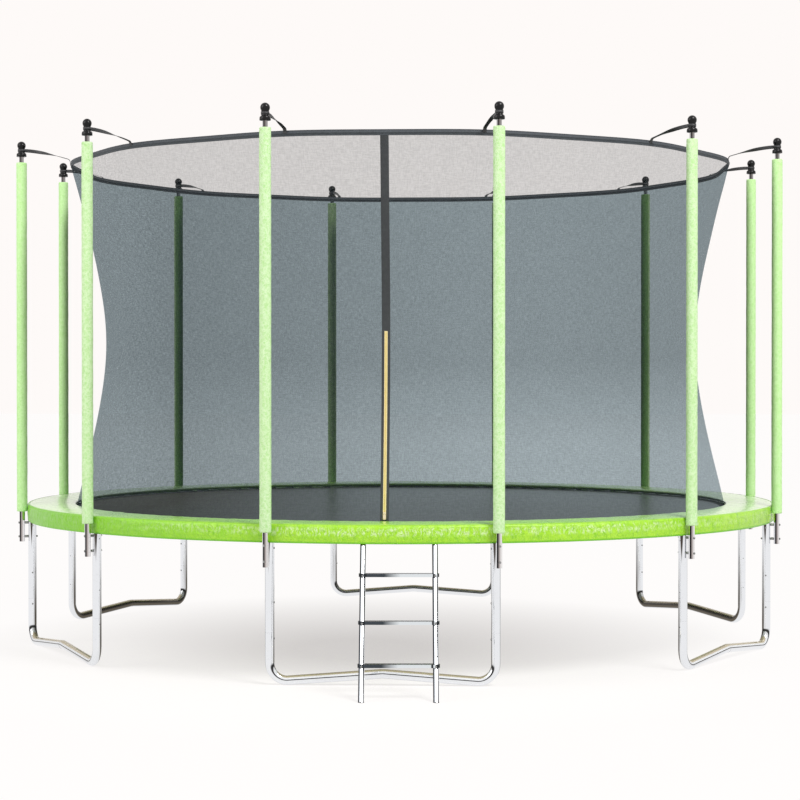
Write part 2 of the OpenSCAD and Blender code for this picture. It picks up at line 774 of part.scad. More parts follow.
// Pull tab on its pin
module zip_pull() {
    y = -tape_t - slider_gap - chain_t - slider_wall - 3;
    color(ZINC) on_zip(slider_start) translate([0, y, slider_len - 8]) {
        rod_x(-5.2, 5.2, bail_r, $fn = SMALL);
        difference() {
            union() {
                rod_x(-2.8, 2.8, 2.4, $fn = SMALL);
                translate([-2.8, -1, -26]) cube([5.6, 2, 26]);
                translate([0, 0, -26]) rod_y(-1, 1, 5, $fn = SMALL);
            }
            translate([0, 0, -27]) rod_y(-2, 2, 2, $fn = SMALL);
        }
    }
}

// ---- Ladder ----

// Turns into the ladder's own frame
module on_ladder() {
    at_azimuth(ladder_az) children();
}

// Leaning rod around a rail's axis, running past both ends
module rail_rod(r, more = 0) {
    translate([0, -ladder_foot_r, 0]) rotate([-lean, 0, 0])
        rod(-ladder_d - more, frame_z / cos(lean) + more, r, $fn = MID);
}

// One rail with its hook over the ring tube; s is -1 or 1
module ladder_rail(s) {
    color(STEEL) on_ladder() translate([s * ladder_half_w, 0, 0]) difference() {
        union() {
            difference() {
                rail_rod(ladder_r);
                rail_rod(ladder_r - ladder_wall, 1);
                translate([-ladder_d, -ladder_foot_r - 3 * ladder_d, -3 * ladder_d])
                    cube([2 * ladder_d, 6 * ladder_d, 3 * ladder_d + sole_t]);
                translate([0, -hinge_y, frame_z])
                    rod_x(-ladder_d, ladder_d, hook_in_r + hook_t / 2, $fn = MID);
                translate([-ladder_d, -hinge_y - 4 * ladder_d, frame_z - ladder_r])
                    cube([2 * ladder_d, 8 * ladder_d, 4 * ladder_d]);
            }
            translate([-hook_w / 2, -hinge_y, frame_z]) rotate([90, 0, 90])
                rotate_extrude(angle = hook_to - hook_from, start = hook_from, $fn = MID)
                    translate([hook_in_r, 0]) square([hook_t, hook_w]);
        }
        for (z = step_z) translate([0, -rail_axis_y(z), z - step_bolt_drop])
            rod_y(-step_depth, step_depth, bolt_hole_r, $fn = SMALL);
    }
}

// Outline of a step, seen from above, d inside its edge
module step_outline(d) {
    w = ladder_half_w;
    e = ladder_r + 5;
    c = e - d;
    y = step_depth / 2 - e;
    for (s = [-1, 1], t = [-1, 1]) translate([s * w, t * y]) circle(c, $fn = MID);
    square([2 * w + 2 * c, 2 * y], center = true);
    square([2 * w, 2 * y + 2 * c], center = true);
}

// Pressed steel step, open below, pierced by the two rails
module ladder_step(i) {
    z = step_z[i];
    color(STEEL) on_ladder() difference() {
        translate([0, -rail_axis_y(z), z - step_h / 2]) linear_extrude(step_h) step_outline(0);
        translate([0, -rail_axis_y(z), z - step_h / 2 - 1])
            linear_extrude(step_h + 1 - step_sheet) step_outline(step_sheet);
        for (s = [-1, 1]) translate([s * ladder_half_w, 0, 0]) {
            rail_rod(ladder_r + seat);
            translate([0, -rail_axis_y(z), z - step_bolt_drop])
                rod_y(-step_depth, step_depth, bolt_hole_r, $fn = SMALL);
        }
    }
}

// Bolts through the steps' rims and the rails
module ladder_bolts() {
    y = step_depth / 2;
    color(ZINC) on_ladder() for (z = step_z, s = [-1, 1])
        translate([s * ladder_half_w, -rail_axis_y(z), z - step_bolt_drop]) {
            rod_y(-y - 0.2, y + 5, bolt_r, $fn = SMALL);
            rod_y(-y - 2.2, -y - 0.1, bolt_r * 1.7, $fn = SMALL);
            difference() {
                rod_y(y + 0.1, y + 4.5, bolt_r * 1.9, $fn = 6);
                rod_y(y - 1, y + 6, bolt_r + 0.1, $fn = SMALL);
            }
        }
}

// Plugs in the rails' lower ends, with flat soles
module ladder_feet() {
    inner = ladder_r - ladder_wall - slip;
    color(BLACK) on_ladder() for (s = [-1, 1]) translate([s * ladder_half_w, 0, 0]) {
        intersection() {
            rail_rod(ladder_r);
            translate([-50, -ladder_foot_r - 100, 0]) cube([100, 200, sole_t - 0.05]);
        }
        intersection() {
            rail_rod(inner);
            translate([-50, -ladder_foot_r - 100, sole_t - 0.05]) cube([100, 200, 22]);
        }
    }
}

for (k = [0 : legs - 1]) {
    on_ring() rail_pair(k);
    on_ring() leg_base(k);
    on_ring() leg_uprights(k);
    on_ring() pole_pair(k);
    on_ring() foam_pair(k);
}
on_ring() leg_sleeves();
on_ring() leg_screws();
on_ring() pole_caps();
on_ring() pole_spacers();
on_ring() pole_bolts();
on_ring() mat();
on_ring() mat_rings();
on_ring() springs();
on_ring() spring_cover();
on_ring() cover_skirt();
on_ring() skirt_flap();
on_ring() net();
on_ring() net_hem();
on_ring() hem_rods();
on_ring() net_straps();
on_ring() zip_placket();
on_ring() zip_tape();
on_ring() zip_slider();
on_ring() zip_pull();
on_ring() ladder_rail(-1);  // ladder_rail_left
on_ring() ladder_rail(1);  // ladder_rail_right
on_ring() ladder_step(0);  // ladder_step_1
on_ring() ladder_step(1);  // ladder_step_2
on_ring() ladder_step(2);  // ladder_step_3
on_ring() ladder_bolts();
on_ring() ladder_feet();
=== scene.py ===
"""Round garden trampoline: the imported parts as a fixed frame, dressed with mat cloth, springs,
padded cover, skirt, safety net, foam sleeves, caps, straps and zip, on a pale studio floor.
Metres, +Z up. Azimuths are in degrees from the front (-Y), growing towards +X."""
import json
import math

import bpy
import numpy as np
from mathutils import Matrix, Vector


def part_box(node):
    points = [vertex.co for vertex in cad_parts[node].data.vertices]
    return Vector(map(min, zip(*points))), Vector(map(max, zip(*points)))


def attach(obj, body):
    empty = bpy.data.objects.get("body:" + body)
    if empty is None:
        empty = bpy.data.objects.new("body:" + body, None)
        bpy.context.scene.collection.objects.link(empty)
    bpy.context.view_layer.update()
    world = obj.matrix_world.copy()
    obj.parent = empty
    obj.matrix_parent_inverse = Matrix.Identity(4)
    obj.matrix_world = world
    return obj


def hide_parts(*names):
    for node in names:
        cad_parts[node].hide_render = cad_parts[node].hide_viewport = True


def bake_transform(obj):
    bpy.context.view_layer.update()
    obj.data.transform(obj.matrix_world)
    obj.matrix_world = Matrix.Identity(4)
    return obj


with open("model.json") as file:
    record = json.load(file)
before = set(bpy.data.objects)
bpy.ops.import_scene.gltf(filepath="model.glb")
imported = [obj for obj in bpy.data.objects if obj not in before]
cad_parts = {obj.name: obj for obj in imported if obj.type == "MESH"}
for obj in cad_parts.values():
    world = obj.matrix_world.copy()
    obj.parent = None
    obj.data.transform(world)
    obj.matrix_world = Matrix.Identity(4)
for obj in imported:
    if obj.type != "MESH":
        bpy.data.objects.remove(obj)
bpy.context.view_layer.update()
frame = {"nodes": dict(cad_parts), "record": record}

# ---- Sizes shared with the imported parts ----


def levels(part):
    """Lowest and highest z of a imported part, to a tenth of a millimetre."""
    low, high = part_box(part)
    return round(low.z, 4), round(high.z, 4)


mat_low, mat_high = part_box("mat")
MIDDLE_Y = (mat_low.y + mat_high.y) / 2   # the ring's axis stands at x 0 and this y
MAT_R = (mat_high.x - mat_low.x) / 2
MAT_TOP = mat_high.z
MAT_UNDER = mat_low.z
SPRINGS = 96
SPRING_AZIMUTHS = [(i + 0.5) * 360 / SPRINGS for i in range(SPRINGS)]
SPRING_Z, RING_Z = 0.7522, 0.7512         # axes of the springs and of the rings' wire
POLES = 12
POLE_STEP = 360 / POLES
POLE_AZIMUTHS = [(i + 0.5) * POLE_STEP for i in range(POLES)]
POLE_PAIRS = POLES // 2
POLE_R = 2.169                            # circle on which the poles' axes stand
POLE_LOW_TUBE_R, POLE_TOP_TUBE_R = 0.0159, 0.0127
FOAM_R = 0.029
FOAM_LOW, FOAM_HIGH = levels("foam_pair_1")
CAP_LOW, CAP_TOP = levels("pole_caps")
CAP_BALL_R, CAP_COLLAR_R, CAP_NECK_R = 0.0235, 0.0275, 0.0185
CAP_BALL_Z = CAP_TOP - CAP_BALL_R
COVER_IN_R, COVER_OUT_R, COVER_UNDER = 1.868, 2.1362, 0.765
SKIRT_R = 2.1380                          # the skirt's outer face where it hangs straight
SKIRT_LOW = levels("cover_skirt")[0]
NET_WAIST_R, NET_WAIST_Z, NET_SLOPE, NET_ROUND = 1.694, 1.680, 0.28, 0.111
HEM_LOW, HEM_HIGH = levels("net_hem")
HEM_R, HEM_WAVE = 1.878, 0.015            # the hem's mean radius, and how far its straps pull it
LADDER_AZ = 2.25                          # the ladder's middle, as an azimuth and as an x
LADDER_X = 0.091
RAIL_HALF = 0.172                         # from the ladder's middle to a rail's axis

# ---- Geometry helpers ----


def polar(azimuth, radius, height):
    """Points at an azimuth in degrees, a radius from the ring's axis and a height."""
    turn = np.radians(azimuth)
    x, y, z = np.broadcast_arrays(radius * np.sin(turn), MIDDLE_Y - radius * np.cos(turn), height)
    return np.stack([x, y, z], axis=-1)


def spoke(azimuth):
    """Unit vectors at an azimuth: outwards from the ring's axis, and sideways along the ring."""
    turn = np.radians(azimuth)
    return np.array([np.sin(turn), -np.cos(turn), 0.0]), np.array([np.cos(turn), np.sin(turn), 0.0])


def around(columns):
    """Evenly spaced azimuths for that many columns."""
    return np.linspace(0, 360, columns, endpoint=False)


def degrees_of(length, radius):
    """Azimuth angle that a length along the ring spans at a radius."""
    return length / radius * 180 / math.pi


def smooth(value):
    """Eased step: 0 below 0, 1 above 1."""
    t = np.clip(value, 0.0, 1.0)
    return t * t * (3 - 2 * t)


def hump(off, width):
    """Bell curve: 1 where off is 0, fading over a width."""
    return np.exp(-((off / width) ** 2))


def ripple(u, v, cells_u, cells_v, seed):
    """Smooth noise from -1 to 1 over u, which wraps at 1, and v from 0 to 1."""
    table = np.random.default_rng(seed).uniform(-1, 1, (cells_v + 2, cells_u))
    x, y = (u % 1.0) * cells_u, np.clip(v, 0, 1) * cells_v
    i, j = np.floor(x).astype(int), np.floor(y).astype(int)
    fx, fy = smooth(x - i), smooth(y - j)
    left, right = i % cells_u, (i + 1) % cells_u
    low = table[j, left] * (1 - fx) + table[j, right] * fx
    high = table[j + 1, left] * (1 - fx) + table[j + 1, right] * fx
    return low * (1 - fy) + high * fy


def crease(u, v, cells_u, cells_v, seed):
    """Sharp-crested noise from 0 to 1 for crinkled sheet goods."""
    return (1 - np.abs(ripple(u, v, cells_u, cells_v, seed))) ** 3


def grid(points, wrap_rows=False, wrap_columns=False, size=(1.0, 1.0)):
    """Vertices, quads and flat-pattern coordinates in metres for a grid of points."""
    rows, columns = points.shape[:2]
    index = np.arange(rows * columns).reshape(rows, columns)
    if wrap_rows:
        index = np.vstack([index, index[:1]])
    if wrap_columns:
        index = np.hstack([index, index[:, :1]])
    u, v = np.meshgrid(np.linspace(0, size[0], index.shape[1]), np.linspace(0, size[1], index.shape[0]))
    cut = np.stack([u, v], axis=-1)
    corners = [(slice(None, -1), slice(None, -1)), (slice(None, -1), slice(1, None)),
               (slice(1, None), slice(1, None)), (slice(1, None), slice(None, -1))]
    quads = np.stack([index[c] for c in corners], axis=-1).reshape(-1, 4)
    flat = np.stack([cut[c] for c in corners], axis=-2).reshape(-1, 4, 2)
    return points.reshape(-1, 3), quads, flat


def joined(grids):
    """Several grids as one set of vertices, quads and flat-pattern coordinates."""
    verts, quads, cuts = zip(*grids)
    starts = np.cumsum([0] + [len(points) for points in verts])
    quads = [faces + start for faces, start in zip(quads, starts)]
    return np.concatenate(verts), np.concatenate(quads), np.concatenate(cuts)


def piece(name, grids, material, rides=True):
    """One object from several grids, smooth shaded. It rides on the frame unless rides is False."""
    verts, quads, cuts = joined(grids)
    mesh = bpy.data.meshes.new(name)
    mesh.vertices.add(len(verts))
    mesh.vertices.foreach_set("co", verts.astype(np.float32).ravel())
    mesh.loops.add(quads.size)
    mesh.loops.foreach_set("vertex_index", quads.astype(np.int32).ravel())
    mesh.polygons.add(len(quads))
    mesh.polygons.foreach_set("loop_start", np.arange(len(quads), dtype=np.int32) * 4)
    mesh.polygons.foreach_set("use_smooth", np.ones(len(quads), bool))
    layer = mesh.uv_layers.new(name="cut")
    layer.data.foreach_set("uv", cuts.astype(np.float32).ravel())
    mesh.update(calc_edges=True)
    mesh.validate()
    mesh.materials.append(material)
    made = bpy.data.objects.new(name, mesh)
    bpy.context.scene.collection.objects.link(made)
    if rides:
        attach(made, "frame")
    return made


def tube(path, radius, sides=10, wrap=False, up=(0, 0, 1)):
    """A round rod of one radius along a path of points, closed at its ends unless it wraps."""
    path = np.asarray(path, float)
    if wrap:
        along = np.roll(path, -1, 0) - np.roll(path, 1, 0)
    else:
        along = np.gradient(path, axis=0)
    along /= np.linalg.norm(along, axis=1, keepdims=True)
    side = np.cross(along, np.asarray(up, float))
    side /= np.maximum(np.linalg.norm(side, axis=1, keepdims=True), 1e-9)
    lift = np.cross(side, along)
    turn = np.linspace(0, 2 * np.pi, sides, endpoint=False)[None, :, None]
    ring = side[:, None] * np.cos(turn) + lift[:, None] * np.sin(turn)
    points = path[:, None] + ring * radius
    if not wrap:
        nearly_closed = 1e-5
        first, last = path[:1, None] + ring[:1] * nearly_closed, path[-1:, None] + ring[-1:] * nearly_closed
        points = np.concatenate([first, points, last])
    length = np.linalg.norm(np.diff(path, axis=0), axis=1).sum()
    return grid(points, wrap_rows=wrap, wrap_columns=True, size=(2 * np.pi * radius, length))


def lathe(profile, azimuth, sides, wobble=None):
    """A turned shape round a pole's axis; profile is (radius, height) from one end to the other."""
    profile = np.asarray(profile, float)
    turn = np.linspace(0, 2 * np.pi, sides, endpoint=False)
    r, z = profile[:, :1] * np.ones(sides), profile[:, 1:] * np.ones(sides)
    if wobble is not None:
        r = r + wobble(r, z, turn[None, :] * np.ones_like(r))
    centre = polar(azimuth, POLE_R, 0.0)
    facing = np.radians(azimuth)
    x = centre[0] + r * np.sin(turn + facing)
    y = centre[1] - r * np.cos(turn + facing)
    height = np.abs(np.diff(profile[:, 1])).sum()
    return grid(np.stack([x, y, z], -1), wrap_columns=True, size=(2 * np.pi * profile[:, 0].max(), height))


def net_radius(z):
    """Radius of the net at a height: a hyperbola, round at the waist."""
    return NET_WAIST_R - NET_ROUND + np.sqrt(NET_ROUND ** 2 + (NET_SLOPE * (z - NET_WAIST_Z)) ** 2)


def hem_radius(azimuth):
    """The hem is pulled out at each strap and lies further in between them."""
    return HEM_R + HEM_WAVE * np.cos(np.radians(POLES * (azimuth - POLE_STEP / 2)))


# ---- Shader helpers ----


def node(tree, kind, inputs=None, **settings):
    """Adds a node; inputs are values or links by socket name or number."""
    made = tree.nodes.new(kind)
    for key, value in settings.items():
        setattr(made, key, value)
    for key, value in (inputs or {}).items():
        if isinstance(value, bpy.types.NodeSocket):
            tree.links.new(value, made.inputs[key])
        else:
            made.inputs[key].default_value = value
    return made


def maths(tree, operation, a, b=0.0, clamp=False):
    return node(tree, "ShaderNodeMath", {0: a, 1: b}, operation=operation, use_clamp=clamp).outputs[0]


def product(tree, a, b):
    return maths(tree, "MULTIPLY", a, b)


def total(tree, a, b):
    return maths(tree, "ADD", a, b)


def distance(tree, value, middle):
    """How far a value lies from a middle, on either side."""
    return maths(tree, "ABSOLUTE", maths(tree, "SUBTRACT", value, middle))


def greatest(tree, first, *others):
    """The largest of several values."""
    for other in others:
        first = maths(tree, "MAXIMUM", first, other)
    return first


def vector_maths(tree, operation, a, b, output="Vector"):
    return node(tree, "ShaderNodeVectorMath", {0: a, 1: b}, operation=operation).outputs[output]


def parts_of(tree, vector):
    """The x, y and z of a vector."""
    return node(tree, "ShaderNodeSeparateXYZ", {0: vector}).outputs


def surface_normal(tree):
    return node(tree, "ShaderNodeNewGeometry").outputs["Normal"]


def remap(tree, value, low, high, to_low=0.0, to_high=1.0):
    """Takes low to to_low and high to to_high, straight between them and level outside."""
    made = node(tree, "ShaderNodeMapRange", {"Value": value, "From Min": low, "From Max": high,
                                             "To Min": to_low, "To Max": to_high})
    return made.outputs["Result"]


def spread(tree, mask, low, high):
    """A mask's 0 to 1 as low to high."""
    return remap(tree, mask, 0.0, 1.0, low, high)


def band(tree, value, start, full, fade, end):
    """1 where value lies between full and fade, 0 before start and after end."""
    return product(tree, remap(tree, value, start, full), remap(tree, value, end, fade))


def blend_value(tree, factor, a, b):
    return node(tree, "ShaderNodeMix", {0: factor, 2: a, 3: b}).outputs[0]


def blend_colour(tree, factor, a, b):
    return node(tree, "ShaderNodeMix", {0: factor, 6: a, 7: b}, data_type="RGBA").outputs[2]


def noise(tree, position, scale, detail=3.0, roughness=0.55, stretch=None):
    if stretch:
        position = vector_maths(tree, "MULTIPLY", position, stretch)
    return node(tree, "ShaderNodeTexNoise", {"Vector": position, "Scale": scale, "Detail": detail,
                                             "Roughness": roughness}).outputs["Fac"]


def srgb(red, green, blue):
    """A display colour, 0 to 255, as a linear one."""
    def channel(c):
        c /= 255
        return c / 12.92 if c <= 0.04045 else ((c + 0.055) / 1.055) ** 2.4
    return channel(red), channel(green), channel(blue), 1.0


def darker(colour, share):
    """A colour with that share of its light left."""
    return tuple(c * share for c in colour[:3]) + (1,)


def shader_group(name, inputs, outputs):
    """A node group; returns it with what it is given and what it puts out."""
    tree = bpy.data.node_groups.new(name, "ShaderNodeTree")
    for label, kind, value in inputs:
        made = tree.interface.new_socket(name=label, in_out="INPUT", socket_type="NodeSocket" + kind)
        if value is not None:
            made.default_value = value
    for label in outputs:
        tree.interface.new_socket(name=label, in_out="OUTPUT", socket_type="NodeSocketFloat")
    return tree, tree.nodes.new("NodeGroupInput").outputs, tree.nodes.new("NodeGroupOutput").inputs


# ---- Shared surface effects ----


def make_mottle():
    """Soft blotches with fine speckle, as on thin sleeve cloth and net."""
    tree, given, out = shader_group("sleeve mottle", [
        ("Position", "Vector", None), ("Blotch Scale", "Float", 30.0), ("Speckle Scale", "Float", 160.0),
        ("Speckle Share", "Float", 0.5)], ["Mask", "Height"])
    blotch = noise(tree, given["Position"], given["Blotch Scale"], 3.0, 0.6)
    speckle = noise(tree, given["Position"], given["Speckle Scale"], 2.0, 0.6)
    mixed = blend_value(tree, given["Speckle Share"], blotch, speckle)
    tree.links.new(remap(tree, mixed, 0.36, 0.64), out["Mask"])
    tree.links.new(mixed, out["Height"])
    return tree


def make_crinkle():
    """Creased vinyl: sharp crests from folded noise, and a mask along the crests that the materials use for
    painted crease shading.
    """
    tree, given, out = shader_group("vinyl crinkle", [
        ("Position", "Vector", None), ("Crease Scale", "Float", 40.0), ("Fine Scale", "Float", 130.0)],
        ["Height", "Painted Crease Shading"])
    crests = []
    for scale, offset in (("Crease Scale", 0.0), ("Fine Scale", 3.1)):
        moved = vector_maths(tree, "ADD", given["Position"], (offset, offset, offset))
        fold = distance(tree, noise(tree, moved, given[scale], 2.0, 0.5), 0.5)
        crests.append(remap(tree, fold, 0.0, 0.16, 1.0, 0.0))
    tree.links.new(total(tree, crests[0], product(tree, crests[1], 0.35)), out["Height"])
    # Mask along the crests where shade and highlight are painted into the colour
    tree.links.new(product(tree, crests[0], crests[0]), out["Painted Crease Shading"])
    return tree


def make_weave():
    """Plain weave on the flat pattern: thread crowns and the dark between them."""
    tree, given, out = shader_group("plain weave", [
        ("Cut", "Vector", None), ("Threads", "Float", 400.0)], ["Height", "Gap"])
    parts = parts_of(tree, given["Cut"])
    turns = product(tree, given["Threads"], math.pi)
    across, along = (maths(tree, "SINE", product(tree, parts[axis], turns)) for axis in (0, 1))
    height = maths(tree, "ABSOLUTE", product(tree, across, along))
    tree.links.new(height, out["Height"])
    tree.links.new(remap(tree, height, 0.0, 0.25, 1.0, 0.0), out["Gap"])
    return tree


def make_bright_tube():
    """Galvanised tube: faint spangle, cloudy roughness and handling marks."""
    tree, given, out = shader_group("galvanised surface", [
        ("Position", "Vector", None), ("Wear", "Float", 0.5)], ["Roughness", "Height", "Stain"])
    cells = node(tree, "ShaderNodeTexVoronoi", {"Vector": given["Position"], "Scale": 90.0})
    spangle = node(tree, "ShaderNodeSeparateColor", {0: cells.outputs["Color"]}).outputs[0]
    cloud = noise(tree, given["Position"], 9.0, 4.0, 0.6)
    scuff = remap(tree, noise(tree, given["Position"], 55.0, 5.0, 0.7), 0.56, 0.72)
    scuff = product(tree, scuff, given["Wear"])
    rough = total(tree, product(tree, spangle, 0.015), product(tree, cloud, 0.05))
    rough = total(tree, rough, product(tree, scuff, 0.22))
    tree.links.new(total(tree, rough, 0.035), out["Roughness"])
    tree.links.new(total(tree, product(tree, cloud, 0.7), product(tree, spangle, 0.1)), out["Height"])
    tree.links.new(scuff, out["Stain"])
    return tree


def make_dust():
    """Pale dust that settles on faces that look up."""
    tree, given, out = shader_group("settled dust", [
        ("Position", "Vector", None), ("Amount", "Float", 0.3)], ["Mask"])
    looks_up = remap(tree, parts_of(tree, surface_normal(tree))[2], 0.35, 1.0)
    patch = remap(tree, noise(tree, given["Position"], 14.0, 5.0, 0.65), 0.42, 0.68)
    tree.links.new(product(tree, product(tree, looks_up, patch), given["Amount"]), out["Mask"])
    return tree


def make_haze():
    """Uneven threads of a fine net: short level and upright streaks, from 0 to 1."""
    tree, given, out = shader_group("uneven threads", [
        ("Cut", "Vector", None), ("Scale", "Float", 150.0)], ["Mask"])
    level = noise(tree, given["Cut"], given["Scale"], 2.0, 0.6, stretch=(0.22, 1.0, 1.0))
    upright = noise(tree, given["Cut"], given["Scale"], 2.0, 0.6, stretch=(1.0, 0.22, 1.0))
    mixed = product(tree, total(tree, level, upright), 0.5)
    tree.links.new(remap(tree, mixed, 0.40, 0.60), out["Mask"])
    return tree


def make_streaks():
    """Creases across a hanging vinyl band: fine upright lines, broken up and leaning a little. Light and Dark
    are masks for painted highlight and painted shade along them, which also shape their relief.
    """
    tree, given, out = shader_group("vinyl streaks", [("Cut", "Vector", None)], ["Light", "Dark"])
    lean = noise(tree, given["Cut"], 26.0, 2.0, 0.5)
    shift = product(tree, maths(tree, "SUBTRACT", lean, 0.5), 0.045)
    cut = vector_maths(tree, "ADD", given["Cut"], node(tree, "ShaderNodeCombineXYZ", {0: shift}).outputs[0])
    patch = remap(tree, noise(tree, given["Cut"], 22.0, 3.0, 0.6), 0.40, 0.60, 0.45, 1.0)
    for label, scale, low, high in (("Light", 108.0, 0.47, 0.59), ("Dark", 84.0, 0.51, 0.66)):
        line = noise(tree, cut, scale, 3.0, 0.65, stretch=(1.0, 0.26, 1.0))
        tree.links.new(product(tree, remap(tree, line, low, high), patch), out[label])
    return tree


MOTTLE, CRINKLE, WEAVE, BRIGHT = make_mottle(), make_crinkle(), make_weave(), make_bright_tube()
DUST, HAZE, STREAKS = make_dust(), make_haze(), make_streaks()

# ---- Materials ----


class Finish:
    """A material with its Principled shader, position and flat-pattern coordinates at hand."""

    def __init__(self, name, **sockets):
        self.material = bpy.data.materials.new(name)
        self.material.use_nodes = True
        self.tree = self.material.node_tree
        self.shader = self.tree.nodes["Principled BSDF"]
        coordinates = self.tree.nodes.new("ShaderNodeTexCoord")
        self.position = coordinates.outputs["Object"]
        self.cut = coordinates.outputs["UV"]
        for socket, value in sockets.items():
            self.shader.inputs[socket.replace("_", " ")].default_value = value

    def group(self, tree, **inputs):
        """Places a shared effect, with its inputs by name."""
        named = {key.replace("_", " "): value for key, value in inputs.items()}
        return node(self.tree, "ShaderNodeGroup", named, node_tree=tree).outputs

    def mottle(self, blotch_scale, speckle_scale, speckle_share):
        return self.group(MOTTLE, Position=self.position, Blotch_Scale=blotch_scale,
                          Speckle_Scale=speckle_scale, Speckle_Share=speckle_share)

    def crinkle(self, crease_scale, fine_scale):
        return self.group(CRINKLE, Position=self.position, Crease_Scale=crease_scale, Fine_Scale=fine_scale)

    def feed(self, **links):
        """Links values to the Principled shader's sockets by name."""
        for socket, value in links.items():
            self.tree.links.new(value, self.shader.inputs[socket.replace("_", " ")])

    def bright(self, wear):
        return self.group(BRIGHT, Position=self.position, Wear=wear)

    def done(self, tone, roughness, height, strength, depth, **links):
        """Links the finish up, with relief of a strength and depth; returns its material."""
        made = node(self.tree, "ShaderNodeBump", {"Height": height, "Strength": strength, "Distance": depth})
        self.feed(Base_Color=tone, Roughness=roughness, Normal=made.outputs[0], **links)
        return self.material


def make_steel(name, colour, painted_edge_reflection, wear, extra_rough=0.0, edge_from=0.62, edge_to=0.86):
    """Bright metal; a painted dark reflection darkens the edge of each wire or sheet where it turns side-on,
    standing in for the far side of the room.
    """
    finish = Finish(name, Metallic=1.0)
    t = finish.tree
    surface = finish.bright(wear)
    facing = node(t, "ShaderNodeLayerWeight", {"Blend": 0.5}).outputs["Facing"]
    tone = blend_colour(t, surface["Stain"], colour, darker(colour, 0.6))
    # Painted dark reflection towards the side-on edges
    tone = blend_colour(t, remap(t, facing, edge_from, edge_to), tone, painted_edge_reflection)
    return finish.done(tone, total(t, surface["Roughness"], extra_rough), surface["Height"], 0.15, 0.0006)


# Painted reflections on polished tubes, as stripes by the sideways normal. Each has the sideways normals at
# which it starts, is full, fades and ends, a colour, and its strength at the floor and at the ring.
LEG_PAINTED_REFLECTIONS = [((0.76, 0.88, 1.12, 1.26), srgb(92, 86, 76), 1.0, 0.15),
               ((-1.2, -1.1, -0.90, -0.76), srgb(190, 192, 194), 1.0, 1.0)]
RAIL_PAINTED_REFLECTIONS = [((-1.2, -1.1, -0.46, -0.24), srgb(58, 62, 66), 1.0, 1.0),
                ((0.34, 0.50, 0.76, 0.90), srgb(98, 102, 104), 1.0, 1.0)]
TUBE_BRIGHT, TUBE_STAIN = srgb(233, 236, 240), srgb(200, 200, 198)


def start_polished_tube(name):
    """A polished tube's finish with its wear, its normal's parts and its place's parts."""
    finish = Finish(name, Metallic=1.0)
    t = finish.tree
    return finish, finish.bright(0.2), parts_of(t, surface_normal(t)), parts_of(t, finish.position)


def add_painted_reflections(t, tone, stripes, sideways, height):
    # Blends in each painted reflection stripe by the sideways normal, with a strength that changes with
    # height
    for edges, colour, at_floor, at_ring in stripes:
        strength = remap(t, height, 0.15, 0.58, at_floor, at_ring)
        tone = blend_colour(t, product(t, band(t, sideways, *edges), strength), tone, colour)
    return tone


def make_leg_steel():
    """Leg and ring tube with painted reflections: stripes that face the middle, a dark wedge below the ring,
    the brown underside of the cover on the lying stretches, and a black line below it."""
    finish, surface, normal, place = start_polished_tube("bright tube")
    t = finish.tree
    towards_middle = product(t, normal[0], maths(t, "SIGN", product(t, place[0], -1.0)))
    sideways = total(t, towards_middle, remap(t, place[1], -1.6, 0.2, 0.0, 0.22))
    tone = blend_colour(t, surface["Stain"], TUBE_BRIGHT, TUBE_STAIN)
    tone = add_painted_reflections(t, tone, LEG_PAINTED_REFLECTIONS, sideways, place[2])
    # Painted dark reflection in a wedge below the ring
    wedge = remap(t, place[2], 0.53, 0.70, 0.0, 0.42)
    wedge_middle = total(t, product(t, place[0], -0.1), -0.2)
    in_wedge = maths(t, "SUBTRACT", wedge, distance(t, normal[0], wedge_middle))
    tone = blend_colour(t, remap(t, in_wedge, 0.0, 0.14), tone, srgb(74, 68, 62))
    # Painted reflection: a black line just below the lying stretches' brown
    tone = blend_colour(t, band(t, normal[2], 0.02, 0.08, 0.20, 0.28), tone, srgb(46, 46, 46))
    # Painted reflection of the cover's brown underside on the upper side of lying stretches
    tone = blend_colour(t, remap(t, normal[2], 0.56, 0.68), tone, srgb(196, 184, 158))
    return finish.done(tone, surface["Roughness"], surface["Height"], 0.12, 0.0005,
                       Metallic=remap(t, normal[2], 0.05, 0.35, 1.0, 0.35))


def make_rail_steel():
    """Ladder rail with painted reflections: a dark stripe at its left and a grey one right of its middle."""
    finish, surface, normal, place = start_polished_tube("bright ladder tube")
    tone = blend_colour(finish.tree, surface["Stain"], TUBE_BRIGHT, TUBE_STAIN)
    tone = add_painted_reflections(finish.tree, tone, RAIL_PAINTED_REFLECTIONS, normal[0], place[2])
    return finish.done(tone, surface["Roughness"], surface["Height"], 0.12, 0.0005)


def make_pole_steel():
    """Polished pole tube with painted reflections: a black band left of its middle, warm grey beside it and
    bright edges. A painted dark reflection makes it darker above the sleeve."""
    painted_grey_reflection, painted_right_highlight, painted_left_highlight = srgb(168, 160, 158), srgb(232, 230, 230), srgb(228, 228, 230)
    finish = Finish("polished pole tube", Metallic=1.0)
    t = finish.tree
    surface = finish.bright(0.3)
    sideways = parts_of(t, surface_normal(t))[0]
    height = parts_of(t, finish.position)[2]
    # Painted reflections across the tube: warm grey, bright edges and a black band left of the middle
    tone = blend_colour(t, remap(t, sideways, 0.10, 0.62), painted_grey_reflection, painted_right_highlight)
    tone = blend_colour(t, remap(t, sideways, -0.54, -0.68), tone, painted_left_highlight)
    tone = blend_colour(t, band(t, sideways, -0.72, -0.60, -0.22, -0.06), tone, srgb(30, 28, 29))
    # Painted dark reflection above the sleeve
    tone = blend_colour(t, remap(t, height, 2.5, 2.6, 0.0, 0.6), tone, srgb(48, 46, 46))
    return finish.done(tone, surface["Roughness"], surface["Height"], 0.12, 0.0005)


